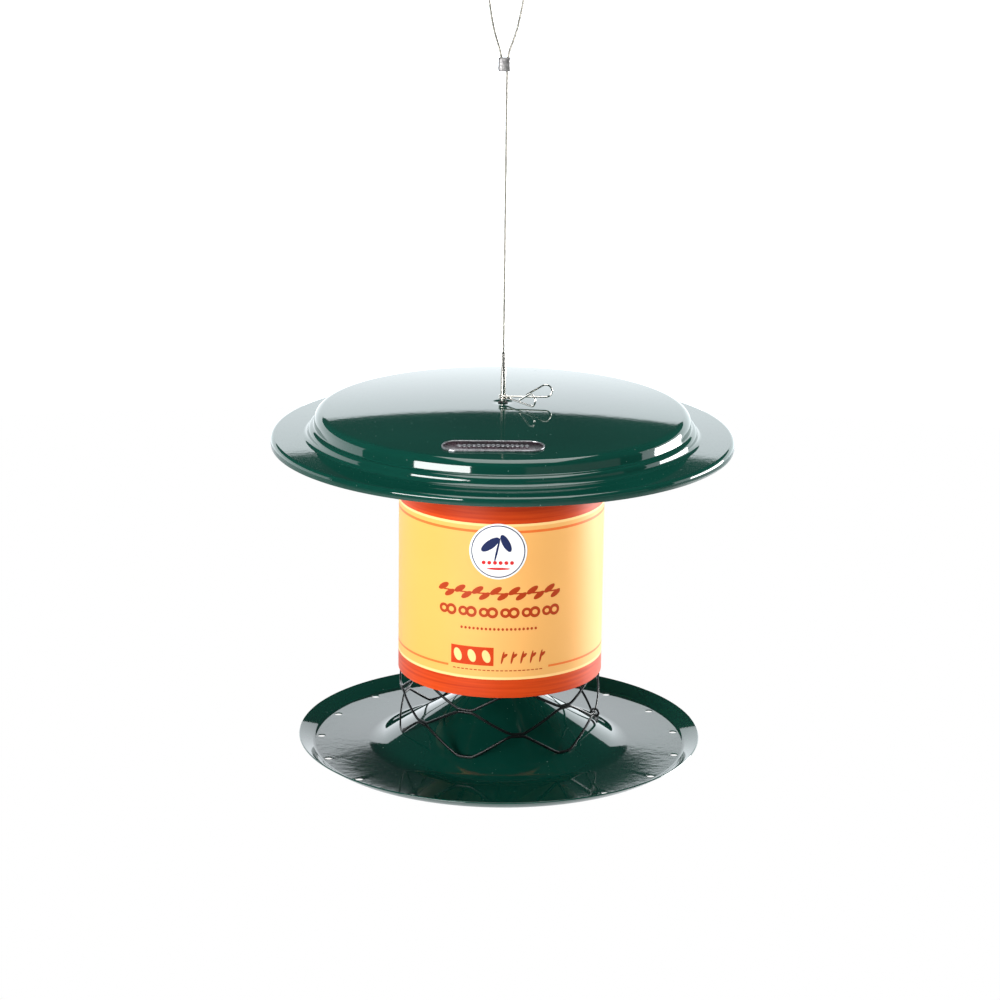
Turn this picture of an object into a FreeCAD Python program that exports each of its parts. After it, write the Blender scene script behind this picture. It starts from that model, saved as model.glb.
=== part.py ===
import FreeCAD, Part
import os
import re
from math import asin, atan2, cos, degrees, pi, radians, sin, tan

import Sketcher

# Hanging bird feeder: a green pressed-steel roof and tray, an expanded-metal
# cylinder for nuts between them, and a wire-rope hanger with a spring clip.
# Millimetres, +Z up, origin at the inside top of the hanging loop.

Vector = FreeCAD.Vector
Z_AXIS = Vector(0, 0, 1)
doc = FreeCAD.newDocument("hanging_feeder")

# ---------------------------------------------------------------- sizes
SIZES = [
    ("sheet_steel", 0.9, "wall of the pressed roof and tray"),
    ("body_gap", 0.3, "air between pieces that move past each other"),
    ("skin_gap", 0.02, "air between pieces fixed face to face"),
    # hanger
    ("rope_diameter", 1.6, "wire rope, 1/16 inch"),
    ("loop_drop", 66.0, "inside top of the loop down to the ferrule"),
    ("ferrule_length", 8.5, "crimped ferrule, along the rope"),
    ("ferrule_depth", 4.9, "crimped ferrule, front to back"),
    ("barrel_pitch", 3.3, "between the two barrels of the ferrule"),
    ("rope_run", 184.4, "straight rope from the ferrule to the rod"),
    ("socket_depth", 12.0, "rope held inside the rod's crimped end"),
    ("rod_diameter", 3.5, "stainless rod"),
    ("crimp_wall", 0.6, "steel round the rope at the rod's crimped top end"),
    ("crimp_length", 16.0, "crimped length of the rod"),
    ("rod_show", 33.9, "rod above the roof's crown"),
    # tray
    ("tray_radius", 134.1, "to the edge of the tray"),
    ("tray_flange_rise", 6.4, "edge of the tray above its floor"),
    ("flange_width", 9.6, "from the edge of the tray in to where the floor turns up"),
    ("tray_flange_bend", 4.0, "bend between floor and flange"),
    ("cone_margin", 14.7, "foot of the nut-spreading cone, beyond the mesh"),
    ("cone_height", 41.6, "cone above the floor"),
    ("cone_foot_bend", 9.0, "bend at the foot of the cone"),
    ("seat_radius", 11.0, "flat top of the cone"),
    ("seat_bend", 5.0, "bend round the seat"),
    ("drain_count", 17, "drain holes round the floor"),
    ("drain_inset", 4.6, "centres of the drain holes, in from where the floor turns up"),
    ("drain_radius", 2.75, "drain hole"),
    ("drain_start", 9.0, "angle of the first drain hole, degrees"),
    # mesh
    ("mesh_radius", 67.3, "outside of the mesh cylinder"),
    ("mesh_sheet", 1.2, "thickness of the expanded metal"),
    ("mesh_columns", 6, "diamonds round the cylinder"),
    ("mesh_rows", 14, "half-diamond rows up the cylinder"),
    ("mesh_row_pitch", 15.4, "height of a half-diamond row"),
    ("mesh_strand", 1.9, "width of a strand"),
    ("mesh_bond", 9.0, "length of the joint between two diamonds"),
    ("mesh_start", -17.0, "angle of the first foot from the front, degrees"),
    ("ring_wire", 1.5, "seam ring wire"),
    ("ring_radius", 2.7, "seam ring, to the middle of its wire"),
    # label
    ("label_wall", 0.5, "card sleeve"),
    ("label_gap", 0.2, "card sleeve to mesh"),
    ("label_rise", 44.0, "lower edge of the sleeve above the mesh's feet"),
    ("label_top_gap", 44.9, "upper edge of the sleeve below the top of the mesh"),
    ("sticker_radius", 18.7, "round sticker"),
    ("sticker_wall", 0.25, "round sticker"),
    ("sticker_drop", 30.7, "sticker centre below the sleeve's top edge"),
    ("sticker_turn", -1.6, "sticker centre from the front, degrees"),
    # roof
    ("roof_radius", 152.4, "12 inch roof"),
    ("shoulder_height", 21.4, "corner of the top shoulder above the lip"),
    ("dome_radius", 1300.0, "crown of the dome"),
    ("shoulder_lean", 1.4, "top shoulder in from the crease"),
    ("shoulder_bend", 6.0, "bend of the top shoulder"),
    ("ledge_width", 3.2, "crease between the shoulders in from the lower shoulder"),
    ("crease_height", 12.5, "crease above the lip"),
    ("crease_bend", 1.2, "bend in the crease"),
    ("step_width", 1.2, "lower shoulder in from the foot of the riser"),
    ("step_height", 11.4, "lower shoulder above the lip"),
    ("step_bend", 3.0, "bend of the lower shoulder"),
    ("brim_width", 23.8, "from the lip in to where the riser meets the brim"),
    ("brim_foot_height", 6.7, "brim at the riser, above the lip"),
    ("brim_foot_bend", 3.5, "bend between riser and brim"),
    ("brim_edge_height", 5.5, "brim at its edge, above the lip"),
    ("brim_bend", 2.6, "bend from brim to lip"),
    ("grommet_play", 0.3, "grommet bore beyond the rod, radial"),
    ("grommet_wall", 0.55, "grommet from its bore to the roof's hole"),
    ("grommet_lip", 0.6, "grommet flanges beyond the roof's hole"),
    ("grommet_flange", 0.4, "thickness of each grommet flange"),
    # nameplate
    ("plate_length", 65.0, "nameplate, end to end"),
    ("plate_width", 18.5, "nameplate"),
    ("plate_wall", 1.3, "nameplate"),
    ("plate_inset", 24.8, "nameplate centre in from the top shoulder"),
    ("plate_side", -5.8, "nameplate centre beside the rod"),
    # magnets
    ("magnet_radius", 5.0, "disc magnet"),
    ("magnet_wall", 3.0, "disc magnet"),
    # fasteners
    ("nut_flats", 7.94, "across the flats"),
    ("nut_height", 2.8, "plain hex nut"),
    ("cap_nut_height", 6.6, "domed cap nut"),
    ("cap_wall", 1.2, "top of the cap nut, beyond its bore"),
    ("thread_gap", 0.03, "nut bore beyond the rod, radial"),
    ("washer_radius", 4.8, "steel washer"),
    ("washer_wall", 0.9, "steel washer"),
    ("seal_radius", 5.4, "rubber washer"),
    ("seal_wall", 1.5, "rubber washer"),
    ("seat_play", 0.2, "holes in tray and washers beyond the rod, radial"),
    # clip
    ("clip_wire", 1.1, "spring wire"),
    ("clip_fit", 0.1, "clip coil on the rod, radial"),
    ("clip_rise", 2.4, "lower coil above the roof"),
    ("clip_turn_gap", 0.4, "between the two turns of the coil"),
    ("clip_leg", 28.0, "straight leg, from the coil to the finger loop"),
    ("clip_loop_radius", 4.1, "finger loop"),
    ("clip_tail", 12.4, "straight tail after the finger loop"),
    ("clip_tail_angle", 30.5, "slope of the tail, degrees"),
    ("clip_spread", 54.0, "angle between the two legs, degrees"),
]
sheet = doc.addObject("Spreadsheet::Sheet", "Sizes")
for row, (name, number, note) in enumerate(SIZES, 1):
    sheet.set(f"A{row}", note)
    sheet.set(f"B{row}", str(number))
    sheet.setAlias(f"B{row}", name)
doc.recompute()
ALIASES = {name for name, number, note in SIZES}


def tied(text):
    """The expression with each size's name pointing at the spreadsheet."""
    return re.sub(r"[a-z]\w*", lambda m: f"Sizes.{m[0]}" if m[0] in ALIASES else m[0], text)


def value(text):
    """The number that an expression of the sizes gives now."""
    return float(doc.Sizes.evalExpression(tied(text)))


# Radii that follow from other sizes.
MESH_INSIDE = "(mesh_radius - mesh_sheet)"
RING = f"({MESH_INSIDE} + mesh_sheet / 2)"
CONE_RADIUS = "(mesh_radius + cone_margin)"
TRAY_FLOOR_RADIUS = "(tray_radius - flange_width)"
BRIM_FOOT_RADIUS = "(roof_radius - brim_width)"
STEP_RADIUS = f"({BRIM_FOOT_RADIUS} - step_width)"
CREASE_RADIUS = f"({STEP_RADIUS} - ledge_width)"
SHOULDER_RADIUS = f"({CREASE_RADIUS} - shoulder_lean)"
LABEL_INSIDE = "(mesh_radius + label_gap)"
LABEL_OUTSIDE = f"({LABEL_INSIDE} + label_wall)"
SEAT_HOLE = "(rod_diameter / 2 + seat_play)"
GROMMET_BORE = "(rod_diameter / 2 + grommet_play)"
ROOF_HOLE = f"({GROMMET_BORE} + grommet_wall)"
COIL_RADIUS = "(rod_diameter / 2 + clip_fit + clip_wire / 2)"

# Heights of the main pieces, from the loop down.
CONE_SLOPE = f"(cone_height / ({CONE_RADIUS} - seat_radius))"
ROOF_HEIGHT = f"(shoulder_height + dome_radius - sqrt(dome_radius ^ 2 - {SHOULDER_RADIUS} ^ 2))"
MESH_HEIGHT = "(mesh_rows * mesh_row_pitch + 2 * mesh_strand)"
LABEL_HEIGHT = f"({MESH_HEIGHT} - label_rise - label_top_gap)"
ROD_TOP = "(-loop_drop - ferrule_length - rope_run)"
CROWN_LEVEL = f"({ROD_TOP} - rod_show)"
ROOF_LEVEL = f"({CROWN_LEVEL} - {ROOF_HEIGHT})"
MAGNET_LEVEL = (f"({CROWN_LEVEL} - dome_radius + sqrt((dome_radius - sheet_steel) ^ 2"
                f" - ({RING} + magnet_radius) ^ 2) - skin_gap - magnet_wall)")
MESH_LEVEL = f"({MAGNET_LEVEL} - body_gap - {MESH_HEIGHT})"
LABEL_LEVEL = f"({MESH_LEVEL} + label_rise)"
FLOOR_LEVEL = f"({MESH_LEVEL} - body_gap - ({CONE_RADIUS} - {MESH_INSIDE}) * {CONE_SLOPE})"
SEAT_LEVEL = f"({FLOOR_LEVEL} + cone_height)"
LOWER_LEG_LEVEL = f"({CROWN_LEVEL} + clip_rise + clip_wire / 2)"
UPPER_LEG_LEVEL = f"({LOWER_LEG_LEVEL} + clip_wire + clip_turn_gap)"
CAP_STACK = "(sheet_steel + seal_wall + washer_wall + 3 * skin_gap)"
CAP_BORE = "(cap_nut_height - cap_wall)"
ROD_TAIL = f"({CAP_STACK} + {CAP_BORE} - body_gap)"


# ---------------------------------------------------------------- helpers
def bind(item, **expressions):
    """Ties each named property of an object to an expression of the sizes."""
    for place, text in expressions.items():
        item.setExpression(place.replace("__", "."), tied(str(text)))


def new_body(label, level="0"):
    body = doc.addObject("PartDesign::Body", label)
    body.Label = label
    bind(body, Placement__Base__z=level)
    return body


def origin_plane(body, role):
    return next(f for f in body.Origin.OriginFeatures if f.Role == role)


def new_sketch(body, name, role="XZ_Plane"):
    sketch = body.newObject("Sketcher::SketchObject", name)
    sketch.AttachmentSupport = [(origin_plane(body, role), "")]
    sketch.MapMode = "FlatFace"
    return sketch


def hold(sketch, kind, *parts):
    """Adds one constraint; a text as its last part is an expression that drives it."""
    if isinstance(parts[-1], str):
        number = value(parts[-1])
        if kind == "Angle":
            number = radians(number)
        index = sketch.addConstraint(Sketcher.Constraint(kind, *parts[:-1], number))
        unit = " * 1 deg" if kind == "Angle" else ""
        sketch.setExpression(f"Constraints[{index}]", f"({tied(parts[-1])}){unit}")
    else:
        sketch.addConstraint(Sketcher.Constraint(kind, *parts))


def pin_point(sketch, edge, end, across, up):
    """Holds one end of an edge at a distance from the sketch's two axes."""
    for kind, text in (("DistanceX", across), ("DistanceY", up)):
        if text == "0":
            axis = -2 if kind == "DistanceX" else -1
            hold(sketch, "PointOnObject", edge, end, axis)
        elif text is not None:
            hold(sketch, kind, -1, 1, edge, end, text)


def closed_outline(sketch, corners):
    """Straight edges through corners, each a pair of expressions, and back to the first."""
    spots = [Vector(value(across), value(up), 0) for across, up in corners]
    count = len(spots)
    for i, spot in enumerate(spots):
        sketch.addGeometry(Part.LineSegment(spot, spots[(i + 1) % count]))
    for i in range(count):
        hold(sketch, "Coincident", i, 2, (i + 1) % count, 1)
        pin_point(sketch, i, 1, *corners[i])


def revolve(body, sketch, name):
    turned = body.newObject("PartDesign::Revolution", name)
    turned.Profile = sketch
    turned.ReferenceAxis = (sketch, ["V_Axis"])
    turned.Angle = 360
    doc.recompute()
    return turned


def drill(body, name, radius_text, across="0"):
    """A round hole right through along Z."""
    sketch = new_sketch(body, f"{name}_circle", "XY_Plane")
    spot = Vector(value(across), 0, 0)
    sketch.addGeometry(Part.Circle(spot, Z_AXIS, value(radius_text)))
    hold(sketch, "Radius", 0, radius_text)
    pin_point(sketch, 0, 3, across, "0")
    before = body.Tip.Shape.Volume
    hole = body.newObject("PartDesign::Pocket", name)
    hole.Profile = sketch
    hole.Type = "ThroughAll"
    hole.Midplane = True
    doc.recompute()
    if hole.Shape.Volume >= before:
        raise RuntimeError(f"{name} removed nothing")
    return hole


def tube(label, outer, inner, height, level):
    """A plain ring or washer made of two Part cylinders."""
    rim = doc.addObject("Part::Cylinder", f"{label}_rim")
    bore = doc.addObject("Part::Cylinder", f"{label}_bore")
    bind(rim, Radius=outer, Height=height)
    bind(bore, Radius=inner, Height=height)
    ring = doc.addObject("Part::Cut", label)
    ring.Base, ring.Tool = rim, bore
    ring.Label = label
    bind(ring, Placement__Base__z=level)
    return ring


def group(label, pieces):
    """Like pieces that share one node, each a solid of its own."""
    compound = doc.addObject("Part::Compound", label)
    compound.Links = pieces
    compound.Label = label
    return compound


def around(turn, radius, height):
    """The placement that carries a piece out to a radius and turns it about the axis."""
    spin = FreeCAD.Rotation(Z_AXIS, turn)
    return FreeCAD.Placement(spin.multVec(Vector(0, -radius, 0)) + Vector(0, 0, height), spin)


# ---------------------------------------------------------------- roof and tray
def corner_arc(before, corner, after, radius):
    """Start, middle and end of the arc that rounds a corner."""
    back, ahead = before - corner, after - corner
    half_turn = (pi - back.getAngle(ahead)) / 2
    inset = radius * tan(half_turn)
    back.normalize()
    ahead.normalize()
    bisector = back + ahead
    bisector.normalize()
    middle = corner + bisector * (radius / cos(half_turn) - radius)
    return corner + back * inset, middle, corner + ahead * inset


def dome_edges(start_radius, foot, riser):
    """The dome from a radius outwards and the bend that carries it into a riser below."""
    crown, curve, bend_radius = value(ROOF_HEIGHT), value("dome_radius"), value("shoulder_bend")
    centre = Vector(0, 0, crown - curve)
    inward = Vector(-riser.z, 0, riser.x)
    beside = foot + inward * bend_radius
    along = (beside - centre).dot(riser)
    apart = (beside - centre).dot(beside - centre)
    climb = (along ** 2 - apart + (curve - bend_radius) ** 2) ** 0.5 - along
    bend_centre = beside + riser * climb
    outward = bend_centre - centre
    outward.normalize()
    top, side = centre + outward * curve, bend_centre - inward * bend_radius
    between = (top + side) * 0.5 - bend_centre
    between.normalize()
    lean = asin(start_radius / curve)
    start = centre + Vector(curve * sin(lean), 0, curve * cos(lean))
    lean = (lean + asin(top.x / curve)) / 2
    half_way = centre + Vector(curve * sin(lean), 0, curve * cos(lean))
    return [Part.Arc(start, half_way, top), Part.Arc(top, bend_centre + between * bend_radius, side)]


def bent_edges(start, spots, bends):
    """Straight edges from a start through the spots after the first, each corner rounded."""
    edges = []
    for i in range(1, len(spots) - 1):
        first, middle, last = corner_arc(spots[i - 1], spots[i], spots[i + 1], value(bends[i]))
        edges += [Part.LineSegment(start, first), Part.Arc(first, middle, last)]
        start = last
    return edges + [Part.LineSegment(start, spots[-1])]


def inner_edge(edge, wall):
    """The other side of a pressed wall: the edge moved inwards, arcs staying arcs."""
    first, last = edge.ParameterRange
    spots = []
    for place in (first, (first + last) / 2, last):
        along = edge.tangentAt(place)
        spots.append(edge.valueAt(place) + Vector(along.z, 0, -along.x) * wall)
    straight = isinstance(edge.Curve, Part.Line)
    moved = Part.LineSegment(spots[0], spots[2]) if straight else Part.Arc(*spots)
    return moved.toShape()


def wall_section(edges, wall):
    """The closed section of a sheet whose outer side runs along the edges."""
    inside = [inner_edge(edge, wall) for edge in edges]
    caps = []
    for i in (0, -1):
        ends = [e.valueAt(e.ParameterRange[i]) for e in (edges[i], inside[i])]
        caps.append(Part.LineSegment(*ends).toShape())
    return Part.Face(Part.Wire(Part.__sortEdges__(edges + caps + inside)))


def press(label, edges, level):
    """A turned sheet-metal piece whose outer side runs along the edges."""
    section = doc.addObject("Part::Feature", f"{label}_section")
    section.Shape = wall_section([edge.toShape() for edge in edges], value("sheet_steel"))
    pressed = doc.addObject("Part::Revolution", f"{label}_pressed")
    pressed.Source = section
    pressed.Axis = Z_AXIS
    pressed.Angle = 360
    pressed.Solid = True
    bind(pressed, Placement__Base__z=level)
    return pressed


def make_roof():
    """The roof: a shallow dome, two rounded shoulders, a flat brim and a turned-down lip."""
    corners = [
        (SHOULDER_RADIUS, ROOF_HEIGHT, None),
        (CREASE_RADIUS, "crease_height", "crease_bend"),
        (STEP_RADIUS, "step_height", "step_bend"),
        (BRIM_FOOT_RADIUS, "brim_foot_height", "brim_foot_bend"),
        ("roof_radius", "brim_edge_height", "brim_bend"),
        ("roof_radius", "0", None),
    ]
    spots = [Vector(value(x), 0, value(z)) for x, z, size in corners]
    riser = spots[0] - spots[1]
    riser.normalize()
    dome = dome_edges(value(ROOF_HOLE), spots[1], riser)
    riser_top = dome[-1].EndPoint
    roof = press("roof", dome + bent_edges(riser_top, spots, [c[2] for c in corners]), ROOF_LEVEL)
    roof.Label = "roof"
    return roof


def make_tray():
    """The tray: flat floor, flared flange and a cone that pushes the nuts outwards."""
    corners = [
        (SEAT_HOLE, "cone_height", None),
        ("seat_radius", "cone_height", "seat_bend"),
        (CONE_RADIUS, "0", "cone_foot_bend"),
        (TRAY_FLOOR_RADIUS, "0", "tray_flange_bend"),
        ("tray_radius", "tray_flange_rise", None),
    ]
    spots = [Vector(value(x), 0, value(z)) for x, z, size in corners]
    pressed = press("tray", bent_edges(spots[0], spots, [c[2] for c in corners]), FLOOR_LEVEL)
    drains = []
    count, ring = int(value("drain_count")), value(f"{TRAY_FLOOR_RADIUS} - drain_inset")
    for i in range(count):
        drain = doc.addObject("Part::Cylinder", "drain")
        bind(drain, Radius="drain_radius", Height="tray_flange_rise + sheet_steel")
        turn = value("drain_start") + 90 + i * 360 / count
        drain.Placement = around(turn, ring, value(f"{FLOOR_LEVEL} - sheet_steel * 2"))
        drains.append(drain)
    holes = doc.addObject("Part::Compound", "drain_holes")
    holes.Links = drains
    tray = doc.addObject("Part::Cut", "tray")
    tray.Base, tray.Tool = pressed, holes
    tray.Label = "tray"
    return tray


def make_grommet():
    """The rubber grommet that keeps the rod from chafing the roof."""
    grommet = new_body("roof_grommet", f"{CROWN_LEVEL} - sheet_steel - grommet_flange - skin_gap")
    outline = new_sketch(grommet, "grommet_outline")
    neck, flange = f"({ROOF_HOLE} - skin_gap)", f"({ROOF_HOLE} + grommet_lip)"
    low, high = "grommet_flange", "(grommet_flange + sheet_steel + 2 * skin_gap)"
    closed_outline(outline, [
        (GROMMET_BORE, "0"),
        (flange, "0"),
        (flange, low),
        (neck, low),
        (neck, high),
        (flange, high),
        (flange, f"{high} + grommet_flange"),
        (GROMMET_BORE, f"{high} + grommet_flange"),
    ])
    revolve(grommet, outline, "grommet_ring")
    return grommet


def make_nameplate():
    """A blank pill-shaped plate that follows the dome."""
    skin = doc.addObject("Part::Sphere", "plate_outer")
    under = doc.addObject("Part::Sphere", "plate_inner")
    bind(skin, Radius="dome_radius + skin_gap + plate_wall")
    bind(under, Radius="dome_radius + skin_gap")
    for ball in (skin, under):
        bind(ball, Placement__Base__z=f"{CROWN_LEVEL} - dome_radius")
    forward = f"({SHOULDER_RADIUS} - plate_inset)"
    middle = doc.addObject("Part::Box", "plate_middle")
    bind(middle, Length="plate_length - plate_width", Width="plate_width", Height=ROOF_HEIGHT,
         Placement__Base__x="plate_side - (plate_length - plate_width) / 2",
         Placement__Base__y=f"-{forward} - plate_width / 2",
         Placement__Base__z=ROOF_LEVEL)
    ends = []
    for side in (-1, 1):
        end = doc.addObject("Part::Cylinder", "plate_end")
        bind(end, Radius="plate_width / 2", Height=ROOF_HEIGHT,
             Placement__Base__x=f"plate_side + {side} * (plate_length - plate_width) / 2",
             Placement__Base__y=f"-{forward}", Placement__Base__z=ROOF_LEVEL)
        ends.append(end)
    pill = doc.addObject("Part::MultiFuse", "plate_pill")
    pill.Shapes = [middle] + ends
    pill.Refine = True
    layer = doc.addObject("Part::MultiCommon", "plate_blank")
    layer.Shapes = [pill, skin]
    plate = doc.addObject("Part::Cut", "nameplate")
    plate.Base, plate.Tool = layer, under
    plate.Label = "nameplate"
    return plate


# ---------------------------------------------------------------- magnets
def foot_angles():
    count = int(value("mesh_columns"))
    return [value("mesh_start") + i * 360 / count for i in range(count)]


def make_magnets():
    """Disc magnets over each top point of the mesh, and under the tray below each foot."""
    above, below = [], []
    slope = degrees(atan2(value("cone_height"), value(f"{CONE_RADIUS} - seat_radius")))
    sheet_drop = value("(sheet_steel + 0.1) / cos(atan(%s))" % CONE_SLOPE)
    surface = value(f"{MESH_LEVEL} - body_gap")
    for turn in foot_angles():
        for row, name in ((above, "roof_magnet"), (below, "tray_magnet")):
            disc = doc.addObject("Part::Cylinder", name)
            bind(disc, Radius="magnet_radius", Height="magnet_wall")
            row.append(disc)
        above[-1].Placement = around(turn, value(RING), value(MAGNET_LEVEL))
        lean = FreeCAD.Placement(Vector(), FreeCAD.Rotation(Vector(1, 0, 0), slope))
        down = FreeCAD.Placement(Vector(0, 0, -value("magnet_wall")), FreeCAD.Rotation())
        spot = around(turn, value(MESH_INSIDE), surface - sheet_drop)
        below[-1].Placement = spot.multiply(lean).multiply(down)
    return [group("roof_magnets", above), group("tray_magnets", below)]


# ---------------------------------------------------------------- mesh and label
def make_mesh():
    """The expanded-metal cylinder: a rolled wall with rows of diamond openings."""
    wall = tube("mesh_wall", "mesh_radius", MESH_INSIDE, MESH_HEIGHT, MESH_LEVEL)
    columns, rows = int(value("mesh_columns")), int(value("mesh_rows"))
    pitch, strand, bond = value("mesh_row_pitch"), value("mesh_strand"), value("mesh_bond")
    radius = value("mesh_radius")
    half_column = pi / columns
    half_width = radius * sin(half_column - bond / 2 / radius)
    slope = atan2(pitch, radius * half_column)
    half_height = pitch - strand / 2 / cos(slope)
    shoulder = half_height - (half_width * 0.93) * tan(slope)
    corners = [(half_width, 0), (half_width * 0.93, shoulder), (0, half_height)]
    ring = corners + [(-x, z) for x, z in corners[1::-1]]
    ring += [(-x, -z) for x, z in corners[1:]] + [(corners[1][0], -shoulder)]
    near = radius * cos(half_column) - 2
    outline = [Vector(x, -near, z) for x, z in ring]
    opening = Part.Face(Part.makePolygon(outline + outline[:1]))
    opening = opening.extrude(Vector(0, -(radius - near) - 4, 0))
    cutters = []
    base = value(MESH_LEVEL) + strand
    for level in range(rows + 1):
        for column in range(columns):
            turn = value("mesh_start") + degrees(half_column) * (2 * column + 1 - level % 2)
            cutter = opening.copy()
            cutter.Placement = around(turn, 0, base + level * pitch)
            cutters.append(cutter)
    openings = doc.addObject("Part::Feature", "mesh_openings")
    openings.Shape = Part.makeCompound(cutters)
    mesh = doc.addObject("Part::Cut", "mesh_cylinder")
    mesh.Base, mesh.Tool = wall, openings
    mesh.Label = "mesh_cylinder"
    return mesh


def make_seam_rings():
    """Wire rings that close the mesh's seam at its lowest and highest joints."""
    columns, rows = int(value("mesh_columns")), int(value("mesh_rows"))
    turn = value("mesh_start") + 3 * 180 / columns
    rings = []
    for level in (1, rows - 1):
        ring = doc.addObject("Part::Torus", "seam_ring")
        bind(ring, Radius1="ring_radius", Radius2="ring_wire / 2")
        height = value(f"{MESH_LEVEL} + mesh_strand + {level} * mesh_row_pitch")
        upright = FreeCAD.Placement(Vector(), FreeCAD.Rotation(Vector(0, 1, 0), 90))
        ring.Placement = around(turn, value(RING), height).multiply(upright)
        rings.append(ring)
    return group("seam_rings", rings)


def make_sticker():
    """The round sticker, bent to the card sleeve."""
    skin = tube("sticker_skin", f"{LABEL_OUTSIDE} + skin_gap + sticker_wall",
                f"{LABEL_OUTSIDE} + skin_gap", LABEL_HEIGHT, LABEL_LEVEL)
    punch = doc.addObject("Part::Cylinder", "sticker_punch")
    bind(punch, Radius="sticker_radius", Height="mesh_radius")
    turn = value("sticker_turn")
    level = value(f"{LABEL_LEVEL} + {LABEL_HEIGHT} - sticker_drop")
    forward = FreeCAD.Placement(Vector(), FreeCAD.Rotation(Vector(1, 0, 0), 90))
    punch.Placement = around(turn, value("mesh_radius / 2"), level).multiply(forward)
    sticker = doc.addObject("Part::MultiCommon", "round_sticker")
    sticker.Shapes = [skin, punch]
    sticker.Label = "round_sticker"
    return sticker


# ---------------------------------------------------------------- rod and fasteners
def make_rod():
    """The rod: crimped round the rope at its top, threaded below the tray."""
    foot = f"({SEAT_LEVEL} - {ROD_TAIL})"
    rod = new_body("hanger_rod", foot)
    outline = new_sketch(rod, "rod_outline")
    top = f"({ROD_TOP} - {foot})"
    tip = "(rope_diameter / 2 + crimp_wall)"
    closed_outline(outline, [
        ("0", "0"),
        ("rod_diameter / 2 - 0.5", "0"),
        ("rod_diameter / 2", "0.5"),
        ("rod_diameter / 2", f"{top} - crimp_length"),
        (tip, f"{top} - 1"),
        (f"{tip} - 0.4", top),
        ("rope_diameter / 2 + skin_gap", top),
        ("rope_diameter / 2 + skin_gap", f"{top} - socket_depth"),
        ("0", f"{top} - socket_depth"),
    ])
    revolve(rod, outline, "rod_solid")
    return rod


def make_hex(label, level, dome=False):
    """A hexagon nut: plain with a through bore, or closed with a domed cap."""
    nut = new_body(label, level)
    outline = new_sketch(nut, f"{label}_hexagon", "XY_Plane")
    corner = value("nut_flats") / 3 ** 0.5
    spots = [Vector(corner * cos(i * pi / 3), corner * sin(i * pi / 3), 0) for i in range(6)]
    for i in range(6):
        outline.addGeometry(Part.LineSegment(spots[i], spots[(i + 1) % 6]))
    for i in range(6):
        hold(outline, "Coincident", i, 2, (i + 1) % 6, 1)
        spot = (f"nut_flats / sqrt(3) * cos({60 * i} deg)", f"nut_flats / sqrt(3) * sin({60 * i} deg)")
        for kind, text in zip(("DistanceX", "DistanceY"), spot):
            if abs(value(text)) < 1e-6:
                hold(outline, "PointOnObject", i, 1, -2 if kind == "DistanceX" else -1)
            else:
                hold(outline, kind, -1, 1, i, 1, text)
    block = nut.newObject("PartDesign::Pad", f"{label}_block")
    block.Profile = outline
    bind(block, Length="nut_height")
    doc.recompute()
    bore = "(rod_diameter / 2 + thread_gap)"
    if dome:
        cap = new_sketch(nut, f"{label}_dome")
        closed_outline(cap, [
            ("0", "nut_height / 2"),
            ("nut_flats / 2 - 0.4", "nut_height / 2"),
            ("nut_flats / 2 - 0.4", "nut_height + 0.6"),
            ("nut_flats / 2 - 0.9", CAP_BORE),
            ("nut_flats / 2 - 2.2", "cap_nut_height"),
            ("0", "cap_nut_height"),
        ])
        revolve(nut, cap, f"{label}_crown")
        hole = new_sketch(nut, f"{label}_bore")
        closed_outline(hole, [("0", "0"), (bore, "0"), (bore, CAP_BORE), ("0", CAP_BORE)])
        cut = nut.newObject("PartDesign::Groove", f"{label}_thread")
        cut.Profile = hole
        cut.ReferenceAxis = (hole, ["V_Axis"])
        cut.Angle = 360
        doc.recompute()
        nut.Placement.Rotation = FreeCAD.Rotation(Vector(1, 0, 0), 180)
    else:
        drill(nut, f"{label}_thread", bore)
    return nut


def make_fasteners():
    """Washers and nuts above and below the tray's seat."""
    below = f"{SEAT_LEVEL} - sheet_steel - skin_gap"
    seal = tube("seal_washer", "seal_radius", SEAT_HOLE, "seal_wall", f"{below} - seal_wall")
    lower = tube("lower_washer", "washer_radius", SEAT_HOLE, "washer_wall",
                 f"{below} - seal_wall - skin_gap - washer_wall")
    upper = tube("upper_washer", "washer_radius", SEAT_HOLE, "washer_wall",
                 f"{SEAT_LEVEL} + skin_gap")
    jam = make_hex("upper_nut", f"{SEAT_LEVEL} + washer_wall + 2 * skin_gap")
    cap = make_hex("cap_nut", f"{SEAT_LEVEL} - {CAP_STACK}", dome=True)
    return [seal, lower, upper, jam, cap]


# ---------------------------------------------------------------- rope and ferrule
ROPE_RADIUS = value("rope_diameter") / 2
FERRULE_TOP = -value("loop_drop")
# The route in X and Z: up the rod and ferrule, round the loop, back down the other barrel.
LOOP_ROUTE = [
    (0.0, FERRULE_TOP + 1.5),
    (5.2, FERRULE_TOP + 14.5),
    (8.9, FERRULE_TOP + 31.0),
    (11.1, FERRULE_TOP + 45.5),
    (11.5, FERRULE_TOP + 56.2),
    (9.2, FERRULE_TOP + 63.0),
    (3.5, FERRULE_TOP + 66.8),
    (-3.5, FERRULE_TOP + 66.8),
    (-9.4, FERRULE_TOP + 63.0),
    (-12.1, FERRULE_TOP + 56.0),
    (-12.5, FERRULE_TOP + 45.0),
    (-11.2, FERRULE_TOP + 31.0),
    (-8.1, FERRULE_TOP + 15.0),
    (-3.3, FERRULE_TOP + 1.5),
]


def rope_points():
    start = value(f"{ROD_TOP} - socket_depth")
    end = FERRULE_TOP - value("ferrule_length") + 0.5
    side = -value("barrel_pitch")
    loop = [Vector(x, 0, z) for x, z in LOOP_ROUTE]
    loop[-1].x = side
    return [Vector(0, 0, start)] + loop + [Vector(side, 0, end)]


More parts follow.
